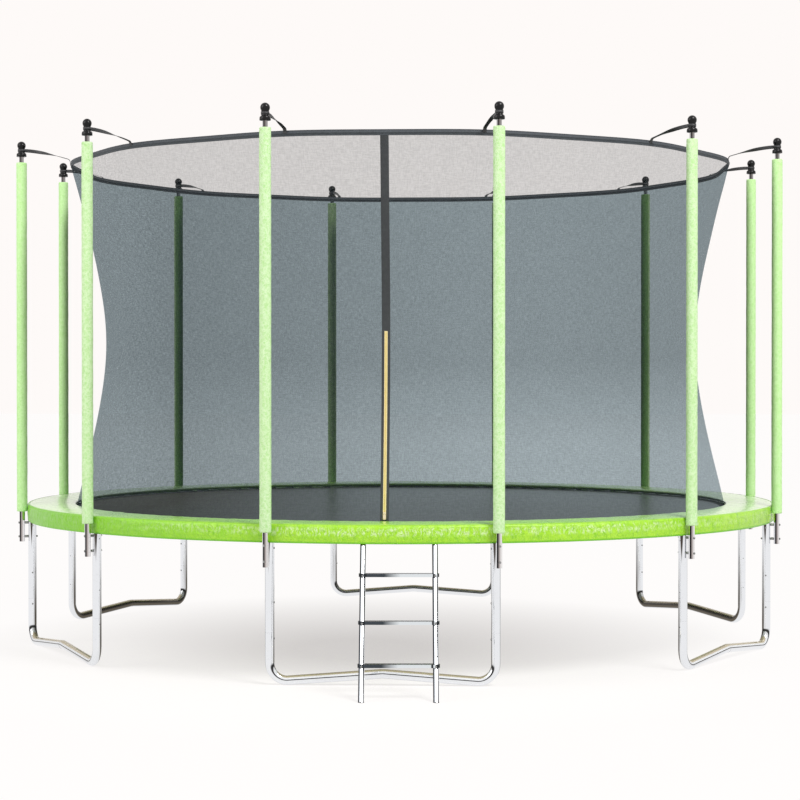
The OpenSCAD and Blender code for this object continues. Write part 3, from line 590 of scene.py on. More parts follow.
def make_step_steel():
    """Pressed steps with painted reflections of the dark side of the room at their left and at the rails."""
    bright, painted_left_reflection, painted_clamp_reflection = srgb(222, 228, 232), srgb(66, 72, 78), srgb(44, 47, 50)
    finish = Finish("pressed step sheet", Metallic=1.0)
    t = finish.tree
    surface = finish.bright(0.5)
    along = parts_of(t, finish.position)[0]
    from_middle = distance(t, along, LADDER_X)
    clear_of_rail = remap(t, distance(t, from_middle, RAIL_HALF), 0.004, 0.007)
    clamp = product(t, clear_of_rail, remap(t, from_middle, RAIL_HALF - 0.017, RAIL_HALF - 0.014))
    # Painted dark reflection over the step's left part
    tone = blend_colour(t, remap(t, along, LADDER_X + 0.005, LADDER_X - 0.072), bright, painted_left_reflection)
    # Painted dark reflection on the bands that clamp round the rails
    tone = blend_colour(t, clamp, tone, painted_clamp_reflection)
    return finish.done(tone, surface["Roughness"], surface["Height"], 0.15, 0.0006)


def make_foam_sleeve():
    """Mottled thin cloth over foam, with painted highlights along its crinkles. The back sleeves carry
    painted shade, a deeper green on the side that faces the net, and the sleeves at both sides carry painted
    light, a fresher green all round."""
    deep, pale, painted_crest_highlight = srgb(164, 218, 128), srgb(210, 233, 186), srgb(238, 252, 226)
    finish = Finish("mottled sleeve cloth", Coat_Weight=0.08, Coat_Roughness=0.35, Specular_IOR_Level=0.35)
    t = finish.tree
    mottle = finish.mottle(60.0, 300.0, 0.82)
    crinkle = finish.crinkle(48.0, 150.0)
    tone = blend_colour(t, mottle["Mask"], deep, pale)
    # Painted highlights along the crinkles' crests
    tone = blend_colour(t, product(t, crinkle["Painted Crease Shading"], 0.4), tone, painted_crest_highlight)
    from_axis = vector_maths(t, "SUBTRACT", finish.position, (0, MIDDLE_Y, 0))
    outwards = vector_maths(t, "MULTIPLY", from_axis, (1 / POLE_R, 1 / POLE_R, 0))
    faces_out = vector_maths(t, "DOT_PRODUCT", surface_normal(t), outwards, "Value")
    place = parts_of(t, outwards)
    at_side = maths(t, "ABSOLUTE", place[0])
    at_back = product(t, remap(t, place[1], 0.4, 0.6), remap(t, at_side, 0.28, 0.7, 0.25, 0.9))
    # Painted shade: the back sleeves go a deeper green on the side that faces the net
    painted_shade_mask = product(t, remap(t, faces_out, 0.1, -0.3), at_back)
    tone = blend_colour(t, painted_shade_mask, tone, srgb(104, 156, 66))
    # Painted light: the sleeves at both sides go a lighter, fresher green all round
    tone = blend_colour(t, remap(t, at_side, 0.85, 0.93, 0.0, 0.4), tone, srgb(198, 255, 158))
    height = total(t, crinkle["Height"], product(t, mottle["Height"], 1.2))
    return finish.done(tone, spread(t, mottle["Mask"], 0.62, 0.46), height, 0.35, 0.0012)


def make_cover_vinyl():
    """Glossy vinyl over foam, creased in every direction, with painted shade along its creases, and paler
    towards both sides.
    """
    lime, yellow_lime, painted_crease_shade = srgb(166, 244, 50), srgb(190, 252, 84), srgb(128, 178, 100)
    finish = Finish("cover vinyl", Coat_Weight=0.8, Coat_Roughness=0.2)
    t = finish.tree
    crinkle = finish.crinkle(22.0, 90.0)
    mottle = finish.mottle(16.0, 85.0, 0.45)
    at_side = maths(t, "ABSOLUTE", parts_of(t, finish.position)[0])
    tone = blend_colour(t, mottle["Mask"], lime, yellow_lime)
    # Painted shade along the creases
    tone = blend_colour(t, product(t, crinkle["Painted Crease Shading"], 0.15), tone, painted_crease_shade)
    tone = blend_colour(t, remap(t, at_side, 0.9, 2.0, 0.0, 0.55), tone, srgb(228, 244, 222))
    return finish.done(tone, spread(t, mottle["Mask"], 0.24, 0.36), crinkle["Height"], 0.28, 0.002)


def make_skirt_vinyl():
    """Glossy hanging vinyl: painted highlight streaks where creases catch the light under its seam, painted
    shade streaks below, painted shade as a deeper green towards the left, and a dark hem."""
    lime, yellow_lime, deep = srgb(148, 212, 14), srgb(176, 228, 48), srgb(122, 198, 0)
    painted_streak_highlight, painted_streak_shade, hem_tone = srgb(232, 246, 204), srgb(116, 188, 14), srgb(116, 192, 10)
    finish = Finish("skirt vinyl", Coat_Weight=0.18, Coat_Roughness=0.18)
    t = finish.tree
    streak = finish.group(STREAKS, Cut=finish.cut)
    crinkle = finish.crinkle(38.0, 120.0)
    mottle = finish.mottle(14.0, 110.0, 0.5)
    place = parts_of(t, finish.position)
    shiny = product(t, remap(t, place[2], 0.722, 0.738), remap(t, place[2], 0.772, 0.762))
    shiny = product(t, shiny, remap(t, place[0], -1.3, -0.3, 0.15, 1.0))
    shiny = product(t, shiny, remap(t, place[0], 1.1, 1.9, 1.0, 0.4))
    tone = blend_colour(t, mottle["Mask"], lime, yellow_lime)
    # Painted shade: a deeper green towards the left
    tone = blend_colour(t, remap(t, place[0], -0.4, -1.8), tone, deep)
    # Painted shade along the crease streaks
    tone = blend_colour(t, product(t, streak["Dark"], 0.75), tone, painted_streak_shade)
    # Painted highlights along the crease streaks, within the band under the seam
    tone = blend_colour(t, product(t, streak["Light"], spread(t, shiny, 0.06, 0.72)), tone, painted_streak_highlight)
    tone = blend_colour(t, remap(t, place[2], SKIRT_LOW + 0.010, SKIRT_LOW + 0.0075), tone, hem_tone)
    height = total(t, crinkle["Height"], maths(t, "SUBTRACT", streak["Light"], streak["Dark"]))
    return finish.done(tone, spread(t, mottle["Mask"], 0.28, 0.42), height, 0.5, 0.0018)


def make_mat_cloth():
    """Black woven cloth with settled dust, browner at its left and with more sheen at its right."""
    black, grey = srgb(28, 28, 29), srgb(55, 55, 55)
    finish = Finish("woven mat cloth", Specular_IOR_Level=0.3, Sheen_Weight=0.05, Sheen_Roughness=0.4,
                    Coat_Roughness=0.3)
    t = finish.tree
    weave = finish.group(WEAVE, Cut=finish.position, Threads=420.0)
    mottle = finish.mottle(5.0, 150.0, 0.65)
    dust = finish.group(DUST, Position=finish.position, Amount=0.25)
    across = parts_of(t, finish.position)[0]
    tone = blend_colour(t, mottle["Mask"], black, grey)
    tone = blend_colour(t, product(t, weave["Gap"], 0.45), tone, srgb(14, 14, 15))
    tone = blend_colour(t, dust["Mask"], tone, srgb(86, 84, 80))
    tone = blend_colour(t, remap(t, across, -0.3, -1.4, 0.0, 0.7), tone, srgb(62, 52, 34))
    return finish.done(tone, spread(t, mottle["Mask"], 0.46, 0.6), weave["Height"], 0.3, 0.0003,
                       Coat_Weight=remap(t, across, -1.4, -0.2, 0.0, 0.85))


NET_SHADE_ALPHA = 0.92   # how much of the light that falls through it the net holds back


def net_cover(t, place):
    """Shares of the view that the threads cover, seen from outside and from inside. Inside it
    changes from left to right and thins towards the foot."""
    outer = remap(t, place[0], -1.3, 0.8, 0.392, 0.372)
    inner = total(t, remap(t, place[0], -1.7, 0.4, 0.668, 0.563), remap(t, place[0], 0.9, 1.9, 0.0, 0.03))
    inner = maths(t, "SUBTRACT", inner, remap(t, place[0], -1.45, -1.7, 0.0, 0.06))
    foot = product(t, remap(t, place[2], 1.6, 1.05), remap(t, place[0], -1.7, 1.2, 0.09, 0.21))
    return outer, maths(t, "SUBTRACT", inner, foot)


def make_net():
    """Fine netting: thin from outside, denser from inside and for the light that falls through it."""
    finish = Finish("fine netting", Roughness=0.9, Specular_IOR_Level=0.1)
    t = finish.tree
    haze = finish.group(HAZE, Cut=finish.cut, Scale=150.0)
    mottle = finish.mottle(9.0, 60.0, 0.4)
    weave = finish.group(WEAVE, Cut=finish.cut, Threads=420.0)
    inside = node(t, "ShaderNodeNewGeometry").outputs["Backfacing"]
    place = parts_of(t, finish.position)
    outer, inner = net_cover(t, place)
    uneven = product(t, spread(t, haze["Mask"], -0.055, 0.055), remap(t, place[0], -1.25, -1.6, 1.0, 1.7))
    uneven = total(t, uneven, spread(t, mottle["Mask"], -0.012, 0.012))
    uneven = total(t, blend_value(t, inside, outer, inner), uneven)
    alpha = maths(t, "ADD", uneven, spread(t, weave["Gap"], 0.012, -0.03), clamp=True)
    path = node(t, "ShaderNodeLightPath").outputs
    unseen = greatest(t, path["Is Shadow Ray"], path["Is Diffuse Ray"])
    finish.feed(Base_Color=blend_colour(t, inside, srgb(36, 44, 48), srgb(34, 48, 54)),
                Alpha=blend_value(t, unseen, alpha, NET_SHADE_ALPHA))
    return finish.material


def make_webbing(name, dark, light, threads, roughness=0.6, coat=0.0):
    """Woven band: mottled between two tones, with dark gaps between its threads."""
    finish = Finish(name, Coat_Weight=coat, Coat_Roughness=0.3)
    t = finish.tree
    weave = finish.group(WEAVE, Cut=finish.cut, Threads=threads)
    mottle = finish.mottle(40.0, 220.0, 0.5)
    tone = blend_colour(t, mottle["Mask"], dark, light)
    tone = blend_colour(t, product(t, weave["Gap"], 0.5), tone, darker(dark, 0.4))
    rough = spread(t, mottle["Mask"], roughness, roughness + 0.15)
    return finish.done(tone, rough, weave["Height"], 0.5, 0.0005)


def make_moulded(name, colour, roughness, coat):
    """Moulded plastic with a little dust on top."""
    finish = Finish(name, Coat_Weight=coat, Coat_Roughness=0.08, Specular_IOR_Level=0.12)
    t = finish.tree
    mottle = finish.mottle(60.0, 900.0, 0.6)
    dust = finish.group(DUST, Position=finish.position, Amount=0.04)
    tone = blend_colour(t, dust["Mask"], colour, srgb(120, 118, 112))
    rough = spread(t, mottle["Mask"], roughness, roughness + 0.1)
    return finish.done(tone, rough, mottle["Height"], 0.12, 0.0003)


STEEL = make_leg_steel()
RAIL_STEEL = make_rail_steel()
ZINC = make_steel("zinc plated wire and sheet", srgb(150, 151, 150), srgb(60, 60, 58), 0.5, 0.1, 0.4, 0.8)
POLE_STEEL = make_pole_steel()
STEP_STEEL = make_step_steel()
ZIP_STEEL = make_steel("gilt slider", srgb(238, 226, 190), srgb(150, 130, 84), 0.3, 0.12)
FOAM = make_foam_sleeve()
COVER = make_cover_vinyl()
SKIRT = make_skirt_vinyl()
MAT = make_mat_cloth()
NET = make_net()
HEM = make_webbing("hem band", srgb(48, 53, 58), srgb(66, 72, 78), 520.0)
STRAP = make_webbing("strap webbing", srgb(22, 23, 25), srgb(34, 35, 38), 700.0, 0.45, 0.2)
PLACKET = make_webbing("placket band", srgb(44, 47, 50), srgb(62, 65, 68), 520.0, 0.65)
MAT_BAND = make_webbing("mat edge band", srgb(20, 20, 21), srgb(34, 34, 35), 600.0, 0.55)
THREAD = make_webbing("pale stitching", srgb(150, 150, 148), srgb(184, 184, 180), 900.0, 0.7)
ZIP_TAPE = make_webbing("zip tape", srgb(238, 216, 150), srgb(248, 230, 178), 900.0, 0.55)
ZIP_CHAIN = make_moulded("zip chain", srgb(238, 212, 132), 0.3, 0.3)
CAP = make_moulded("glossy cap", srgb(16, 16, 17), 0.22, 0.22)
FOOT = make_moulded("foot cap", srgb(28, 28, 28), 0.6, 0.0)
ROD = make_moulded("fibre rod", srgb(24, 24, 24), 0.5, 0.1)

SLOT_FINISHES = {
    "frame_steel": STEEL, "zinc_steel": ZINC, "ladder_steel": RAIL_STEEL, "step_steel": STEP_STEEL,
    "foam_sleeve": FOAM, "cap_plastic": CAP, "foot_plastic": FOOT, "mat_fabric": MAT,
    "cover_vinyl": COVER, "skirt_vinyl": SKIRT, "net_fabric": NET, "hem_webbing": HEM,
    "rod_fibre": ROD, "strap_webbing": STRAP, "placket_fabric": PLACKET, "zip_tape": ZIP_TAPE,
    "zip_metal": ZIP_STEEL,
}


def finish_cad_nodes():
    """Every carried-over part takes the finish of its material slot, and the poles their own."""
    for part in frame["record"]["subparts"]:
        finish = SLOT_FINISHES[part["material_slot"]]
        materials = frame["nodes"][part["node"]].data.materials
        if not len(materials):
            materials.append(finish)
        for i in range(len(materials)):
            materials[i] = finish
    for number in range(POLE_PAIRS):
        frame["nodes"][f"pole_pair_{number + 1}"].data.materials[0] = POLE_STEEL


# ---- Mat, its edge and springs ----

MAT_EDGE_SHARE = 0.2      # how far the mat's edge goes down when its middle goes down by 1
SPRING_IN_R, SPRING_OUT_R, SPRING_HOLE_R = 1.938, 2.055, 2.0975
SPRING_WIRE_R, COIL_R = 0.0016, 0.0094
COIL_TURNS, COIL_STEPS = 34, 9
HOOK_MID_R, HOOK_R = 1.9208, 0.0040
RING_BASE_R, RING_APEX_R = 1.8812, 1.9210
RING_BASE_HALF, RING_APEX_HALF = 0.0158, 0.0030
RING_BASE_BEND, RING_APEX_BEND = 0.0045, 0.0028   # how far from a corner its bend starts
RING_WIRE_R = 0.002
BAND_IN_R = 1.836         # inner edge of the webbing on the mat's edge
BAND_RISE = 0.0011
STITCH_ROW_RADII = (1.8395, 1.8455, 1.874)
STITCHES_PER_ROW = 1500
STITCH_HALF, STITCH_THREAD_R, STITCH_RISE = 0.0022, 0.0006, 0.0005
RING_LOOP_HALF = 0.0135


def mat_share(radius):
    """Share of the mat's travel that cloth at a radius takes: the middle all, the edge a little."""
    return MAT_EDGE_SHARE + (1 - MAT_EDGE_SHARE) * (1 - np.clip(radius / MAT_R, 0, 1) ** 2) ** 2


def radius_of(co):
    return np.hypot(co[:, 0], co[:, 1] - MIDDLE_Y)


def follow(obj, weight):
    """Bakes a piece's place into its mesh and works out, with weight(points), how much of a moving body's
    motion each point would take; the piece is not bent."""
    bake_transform(obj)
    co = np.zeros(len(obj.data.vertices) * 3, np.float32)
    obj.data.vertices.foreach_get("co", co)
    weights = weight(co.reshape(-1, 3).astype(float))


def follow_mat(obj):
    follow(obj, lambda co: mat_share(radius_of(co)))


def disc_rows(profile, columns):
    """Rings of points round the axis for each (radius, height)."""
    profile = np.asarray(profile, float)
    return polar(around(columns)[None, :], profile[:, :1], profile[:, 1:])


def make_mat():
    """The jumping mat: both faces of a thin disc, with closer rows at its middle and its edge."""
    radii = np.concatenate([[1e-4, 0.05], np.linspace(0.1, MAT_R - 0.06, 34),
                            [MAT_R - 0.03, MAT_R - 0.01, MAT_R - 0.001]])
    top = [(r, MAT_TOP) for r in radii]
    under = [(r, MAT_UNDER) for r in radii[::-1]]
    points = disc_rows(top + [(MAT_R, (MAT_TOP + MAT_UNDER) / 2)] + under, 384)
    cloth = piece("jumping_mat", [grid(points, wrap_columns=True)], MAT, rides=False)
    follow_mat(cloth)
    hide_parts("mat")


def make_edge_band():
    """Webbing on both faces of the mat's edge."""
    grids = []
    for face, lift in ((MAT_TOP, 1), (MAT_UNDER, -1)):
        z = face + lift * BAND_RISE
        profile = [(BAND_IN_R, face), (BAND_IN_R + 0.0005, z), (1.850, z), (1.868, z), (MAT_R - 0.0015, z),
                   (MAT_R - 0.0005, face)]
        grids.append(grid(disc_rows(profile[::lift], 768), wrap_columns=True, size=(11.8, 0.05)))
    follow_mat(piece("mat_edge_band", grids, MAT_BAND, rides=False))


def make_stitches():
    """Rows of stitches on the band, each a short half-round of thread with sunk ends."""
    azimuths = (np.arange(STITCHES_PER_ROW) + 0.5) * 360 / STITCHES_PER_ROW
    height = MAT_TOP + 0.0014
    turn = np.linspace(0, np.pi, 4)[None, None, :]
    grids = []
    for radius in STITCH_ROW_RADII:
        half = degrees_of(STITCH_HALF, radius)
        azimuth = azimuths[:, None, None] + np.array([-half, 0, half])[None, :, None]
        rise = STITCH_RISE * np.sin(turn) * np.array([0.2, 1, 0.2])[None, :, None]
        stitches = polar(azimuth, radius + STITCH_THREAD_R * np.cos(turn), height + rise)
        grids += [grid(stitch) for stitch in stitches]
    follow_mat(piece("mat_stitches", grids, THREAD, rides=False))


def make_ring_loops():
    """Webbing loops from the mat's under face round each ring's base to its top face."""
    half = degrees_of(RING_LOOP_HALF, MAT_R)
    across = np.array([-half, -half * 0.5, 0, half * 0.5, half])
    under_cloth = [(1.842, MAT_UNDER - 0.0012), (1.862, MAT_UNDER - 0.0018)]
    round_wire = [(1.874, -0.0030), (1.8815, -0.0034), (1.8868, -0.0018), (1.8878, 0.0013), (1.8868, 0.0040),
                  (1.8835, 0.0054)]
    on_cloth = [(1.862, MAT_TOP + 0.0019), (1.842, MAT_TOP + 0.0013)]
    side_view = under_cloth + [(r, RING_Z + rise) for r, rise in round_wire] + on_cloth
    grids = []
    for azimuth in SPRING_AZIMUTHS:
        rows = [polar(azimuth + across, r, z) for r, z in side_view]
        grids.append(grid(np.array(rows), size=(2 * RING_LOOP_HALF, 0.09)))
    follow_mat(piece("ring_loops", grids, MAT_BAND, rides=False))


def ring_outline():
    """Rounded triangle with a blunt apex, as (sideways, outwards) points."""
    corners = np.array([(-RING_BASE_HALF, RING_BASE_R), (RING_BASE_HALF, RING_BASE_R),
                        (RING_APEX_HALF, RING_APEX_R), (-RING_APEX_HALF, RING_APEX_R)])
    outline = []
    for k, reach in enumerate((RING_BASE_BEND, RING_BASE_BEND, RING_APEX_BEND, RING_APEX_BEND)):
        before, here, after = corners[k - 1], corners[k], corners[(k + 1) % 4]
        start = here + (before - here) / np.linalg.norm(before - here) * reach
        end = here + (after - here) / np.linalg.norm(after - here) * reach
        outline += [(1 - s) ** 2 * start + 2 * s * (1 - s) * here + s * s * end for s in np.linspace(0, 1, 5)]
    return np.array(outline)


def make_rings():
    """Triangular wire rings that join the mat to its springs."""
    outline = ring_outline()
    grids = []
    for azimuth in SPRING_AZIMUTHS:
        out, side = spoke(azimuth)
        path = outline[:, :1] * side + outline[:, 1:] * out + np.array([0, MIDDLE_Y, RING_Z])
        grids.append(tube(path, RING_WIRE_R, 8, wrap=True))
    rings = piece("triangle_rings", grids, ZINC, rides=False)
    follow(rings, lambda co: np.full(len(co), MAT_EDGE_SHARE))
    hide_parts("mat_rings")


def spring_line():
    """One spring's wire as (sideways, outwards, up) points: hook, neck, coil and tail."""
    angle = np.linspace(0, 2 * np.pi * COIL_TURNS, COIL_TURNS * COIL_STEPS + 1)
    coil_run = np.linspace(SPRING_IN_R + 0.002, SPRING_OUT_R - 0.002, len(angle))
    coil = np.stack([COIL_R * np.sin(angle), coil_run, COIL_R * np.cos(angle)], -1)
    turn = np.linspace(-2.4, 1.2, 9)
    hook = np.stack([np.zeros(len(turn)), HOOK_MID_R - HOOK_R * np.cos(turn),
                     RING_Z - SPRING_Z + HOOK_R * np.sin(turn)], -1)
    neck = np.array([[0, SPRING_IN_R - 0.009, 0.0035], [0, SPRING_IN_R - 0.003, 0.0058]])
    tail = np.array([[0, SPRING_OUT_R + 0.003, 0.0070], [0, SPRING_OUT_R + 0.010, 0.0025],
                     [0, SPRING_HOLE_R - 0.0195, 0.0002], [0, SPRING_HOLE_R - 0.0085, 0.0],
                     [0, SPRING_HOLE_R, 0.0]])
    return np.concatenate([hook, neck, coil, tail])


def make_springs():
    """Close-wound extension springs, each hooked over a ring and into the frame."""
    line = spring_line()
    grids = []
    for azimuth in SPRING_AZIMUTHS:
        out, side = spoke(azimuth)
        path = line[:, :1] * side + line[:, 1:2] * out + line[:, 2:] * np.array([0, 0, 1])
        path = path + np.array([0, MIDDLE_Y, SPRING_Z])
        grids.append(tube(path, SPRING_WIRE_R, 5, up=tuple(out + 0.001 * side)))
    springs = piece("coil_springs", grids, ZINC, rides=False)
    reach = SPRING_HOLE_R - RING_APEX_R
    follow(springs,
           lambda co: MAT_EDGE_SHARE * np.clip((SPRING_HOLE_R - radius_of(co)) / reach, 0, 1))
    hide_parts("springs")


# ---- Padded spring cover and skirt ----

COVER_COLUMNS, COVER_ROWS = 1920, 46
COVER_SEAMS = 6
COVER_MID_R = 2.0                            # where the width of its seams is measured
COVER_EDGE_T, COVER_CROWN = 0.0135, 0.0085   # thickness at its edges, and how much it swells
SEAM_DEPTH, SEAM_WIDTH = 0.0035, 0.007
SKIRT_COLUMNS = 2640
SKIRT_TOP = 0.782
SKIRT_BULGE, SKIRT_DRAWN = 0.0060, 0.0015    # out between the poles, and in at the hem
SKIRT_POLE_LIMIT_R = 2.1388                  # no further out than this beside a pole
COVER_CLEAR_R = 2.1361                       # no nearer to the axis than this below the seam
SWING_FROM, SWING_OVER = 5.6, 5.2            # degrees from the ladder at which the loose part ends
SWING_TOP, SWING_SHARE = 0.766, 0.97         # height above which it stays, and its share of the swing


def pole_bulge(azimuth):
    """0 at each pole, 1 halfway between poles."""
    return 0.5 - 0.5 * np.cos(np.radians(POLES * (azimuth - POLE_STEP / 2)))


def cover_top(azimuth, s):
    """Height of the cover's top; s runs from 0 at its inner edge to 1 at its outer edge."""
    u = azimuth[None, :] / 360
    crown = COVER_EDGE_T + COVER_CROWN * np.sin(np.pi * s) ** 0.6
    folds = 0.0010 * ripple(u + 0.01 * s, s, 230, 3, 11) + 0.0005 * ripple(u - 0.02 * s, s, 520, 5, 12)
    pinch = 0.0008 * crease(u + 0.012 * s, s, 310, 6, 13)
    inner = hump(s, 0.12) * 0.0006 * ripple(u, s, 700, 2, 14)
    away_from_edges = smooth(s / 0.05) * smooth((1 - s) / 0.08)
    step = 360 / COVER_SEAMS
    from_seam = np.radians(np.abs(azimuth[None, :] % step - step / 2)) * COVER_MID_R
    seam = SEAM_DEPTH * hump(from_seam, SEAM_WIDTH) * smooth(s / 0.02) * smooth((1 - s) / 0.05)
    return COVER_UNDER + crown + (folds + pinch + inner) * away_from_edges - seam


def make_cover():
    """Crowned foam ring in vinyl: wrinkled on top, sewn radially, tight at its edges."""
    s = np.linspace(0, 1, COVER_ROWS)[:, None]
    azimuth = around(COVER_COLUMNS)
    radius = COVER_IN_R + 0.004 + s * (COVER_OUT_R - 0.006 - COVER_IN_R - 0.004)
    under = [(COVER_OUT_R - 0.004, COVER_UNDER), (COVER_IN_R + 0.004, COVER_UNDER)]
    inner_edge = [(COVER_IN_R + 0.001, COVER_UNDER + 0.003), (COVER_IN_R, COVER_UNDER + 0.007),
                  (COVER_IN_R + 0.0012, COVER_UNDER + 0.0115)]
    outer_edge = [(COVER_OUT_R - 0.0025, COVER_UNDER + 0.012), (COVER_OUT_R, COVER_UNDER + 0.007),
                  (COVER_OUT_R, COVER_UNDER + 0.002)]
    points = np.concatenate([disc_rows(under + inner_edge, COVER_COLUMNS),
                             polar(azimuth[None, :], radius, cover_top(azimuth, s)),
                             disc_rows(outer_edge, COVER_COLUMNS)])
    pad = piece("spring_cover_pad", [grid(points, wrap_rows=True, wrap_columns=True, size=(12.6, 0.6))],
                COVER)
    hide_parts("spring_cover")


def skirt_side_view():
    """The skirt from its edge sewn over the cover to its turned-up hem: out from SKIRT_R, height."""
    over_cover = [(-0.0120, 0.0008), (-0.0070, 0.0012), (-0.0035, 0.0032), (-0.0012, 0.0065),
                  (-0.0002, 0.0105), (0.0, 0.0150)]
    hanging = [(0.0, z) for z in np.linspace(SKIRT_TOP - 0.019, SKIRT_LOW + 0.0045, 20)]
    hem = [(-0.0004, 0.0022), (-0.0008, 0.0003), (-0.0016, 0.0), (-0.0021, 0.0015), (-0.0021, 0.0060)]
    side_view = [(out, SKIRT_TOP - drop) for out, drop in over_cover] + hanging
    side_view = np.array(side_view + [(out, SKIRT_LOW + rise) for out, rise in hem])
    return side_view[:, :1], side_view[:, 1:]


def skirt_radius(azimuth, out, height):
    """The skirt's surface: gathered, creased, bulging between poles and drawn in at its hem."""
    fall = np.clip((SKIRT_TOP - height) / (SKIRT_TOP - SKIRT_LOW), 0, 1)
    u = azimuth[None, :] / 360
    bulging = pole_bulge(azimuth)[None, :]
    gather = 0.0009 * ripple(u, fall, 520, 2, 21) + 0.0006 * ripple(u, fall, 1150, 3, 22)
    slant = 0.0016 * crease(u + 0.0025 * fall, fall, 640, 4, 23)
    slant = slant + 0.0012 * crease(u - 0.003 * fall, fall, 430, 5, 24)
    upper = smooth(fall / 0.12) * (1 - 0.65 * smooth((fall - 0.45) / 0.4))
    hem_line = 0.0008 * hump(height - (SKIRT_LOW + 0.0085), 0.0012)
    bulge = SKIRT_BULGE * bulging * smooth(fall / 0.25)
    drawn = SKIRT_DRAWN * smooth((fall - 0.6) / 0.4)
    radius = SKIRT_R + out + bulge - drawn + gather * smooth(fall / 0.2) + slant * upper - hem_line - 0.0006
    radius = np.minimum(radius, SKIRT_POLE_LIMIT_R + 0.02 * smooth(bulging / 0.03))
    return np.maximum(radius, np.where(fall > 0.12, COVER_CLEAR_R, 0.0))


def skirt_swing(co):
    """Share of the ladder's swing that the skirt takes: its loose part in front of the ladder."""
    azimuths = np.degrees(np.arctan2(co[:, 0], -(co[:, 1] - MIDDLE_Y))) - LADDER_AZ
    in_front = 1 - smooth((np.abs(azimuths) - SWING_FROM) / SWING_OVER)
    return in_front * smooth((SWING_TOP - co[:, 2]) / 0.05) * SWING_SHARE


def make_skirt():
    """Vinyl skirt sewn over the cover's outer edge; its front part's share of the ladder's swing is worked
    out, not applied.
    """
    azimuth = around(SKIRT_COLUMNS)
    out, height = skirt_side_view()
    points = polar(azimuth[None, :], skirt_radius(azimuth, out, height), height)
    skirt = piece("cover_skirt_vinyl", [grid(points, wrap_columns=True, size=(13.45, 0.12))], SKIRT,
                  rides=False)
    follow(skirt, skirt_swing)
    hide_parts("cover_skirt", "skirt_flap")


# ---- Safety net with hem and straps ----

NET_LOW = 0.7552
NET_COLUMNS = 720
HEM_PULL_FROM, HEM_PULL_OVER = 2.15, 0.52   # the height at which the hem's waves start, and their run
HEM_ROD_R = 0.0041
STRAP_LOOP_Z = 2.7562                # middle of the strap where it lies in the cap's neck
STRAP_LOOP_R, STRAP_LOOP_T, STRAP_LOOP_HALF = CAP_NECK_R + 0.0004, 0.0018, 0.0068
STRAP_HALF, STRAP_T_HALF = 0.0095, 0.0009
STRAP_BEND_AT = 0.86                 # share of its length after which it lies down on the hem
STRAP_BEND_Z, STRAP_END_Z = 2.7130, 2.6900


def net_point_radius(azimuth, z):
    """Net radius with the hem's waves running out below it."""
    pull = smooth((z - HEM_PULL_FROM) / HEM_PULL_OVER) ** 1.5
    wave = (hem_radius(azimuth) - net_radius(HEM_LOW)) * pull
    return net_radius(z) + wave


def make_net_cloth():
    """The net: one thin cloth with a slight drape, still at its foot, its hem and its entrance."""
    azimuth = around(NET_COLUMNS)
    height = np.concatenate([np.linspace(NET_LOW, 0.80, 5), np.linspace(0.83, HEM_LOW + 0.004, 66)])[:, None]
    u = azimuth[None, :] / 360
    v = (height - NET_LOW) / (HEM_LOW - NET_LOW)
    away_from_ends = smooth(v / 0.08) * smooth((1 - v) / 0.06)
    drape = (0.0035 * ripple(u, v, 48, 3, 31) + 0.0018 * ripple(u, v, 130, 5, 32)) * away_from_ends
    away_from_zip = smooth((np.minimum(azimuth, 360 - azimuth) - 1.2) / 2.5)[None, :]
    radius = net_point_radius(azimuth[None, :], height) + drape * away_from_zip
    points = polar(azimuth[None, :], radius, height)
    cloth = piece("safety_net", [grid(points, wrap_columns=True, size=(11.3, 2.0))], NET,
                  rides=False)
    follow(cloth, lambda co: MAT_EDGE_SHARE * (1 - smooth((co[:, 2] - NET_LOW) / 0.05)))
    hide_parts("net")


def make_hem():
    """Folded band round the top of the net, bulged by the rods inside it."""
    azimuth = around(NET_COLUMNS)
    middle, half = (HEM_LOW + HEM_HIGH) / 2, (HEM_HIGH - HEM_LOW) / 2
    upper_levels = [0.12, 0.3, 0.5, 0.72, 0.80, 0.88, 0.97, 1.0]
    levels_up = np.array([-level for level in upper_levels[::-1]] + [0] + upper_levels)
    thick = 0.0016 + 0.0042 * hump(levels_up, 0.36) + 0.0009 * hump(np.abs(levels_up) - 0.92, 0.06)
    thick[[0, -1]] = 0.0004
    loop = list(zip(thick, levels_up)) + list(zip(-thick[::-1], levels_up[::-1]))
    rows = []
    for out, level in loop:
        pucker = 0.0005 * ripple(azimuth / 360, np.full(NET_COLUMNS, (level + 1) / 2), 300, 2, 41)
        rows.append(polar(azimuth, hem_radius(azimuth) + out + pucker, middle + level * half))
    hem = piece("net_hem_band", [grid(np.array(rows), wrap_rows=True, wrap_columns=True, size=(11.8, 0.066))],
                HEM)
    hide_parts("net_hem")
    rod_path = polar(azimuth, hem_radius(azimuth), middle)
    rods = piece("hem_rod_ring", [tube(rod_path, HEM_ROD_R, 8, wrap=True)], ROD)
    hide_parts("hem_rods")


def strap_loop(azimuth):
    """The part of a strap that lies round its cap's neck."""
    out, side = spoke(azimuth)
    centre = polar(azimuth, POLE_R, STRAP_LOOP_Z)
    turn = around(40) * math.pi / 180
    inner, outer = STRAP_LOOP_R, STRAP_LOOP_R + STRAP_LOOP_T
    section = [(inner, -STRAP_LOOP_HALF), (outer, -STRAP_LOOP_HALF), (outer, STRAP_LOOP_HALF),
               (inner, STRAP_LOOP_HALF)]
    rows = [centre + np.outer(np.cos(turn) * r, out) + np.outer(np.sin(turn) * r, side)
            + np.array([0, 0, rise]) for r, rise in section]
    return grid(np.array(rows), wrap_rows=True, wrap_columns=True, size=(0.13, 0.04))


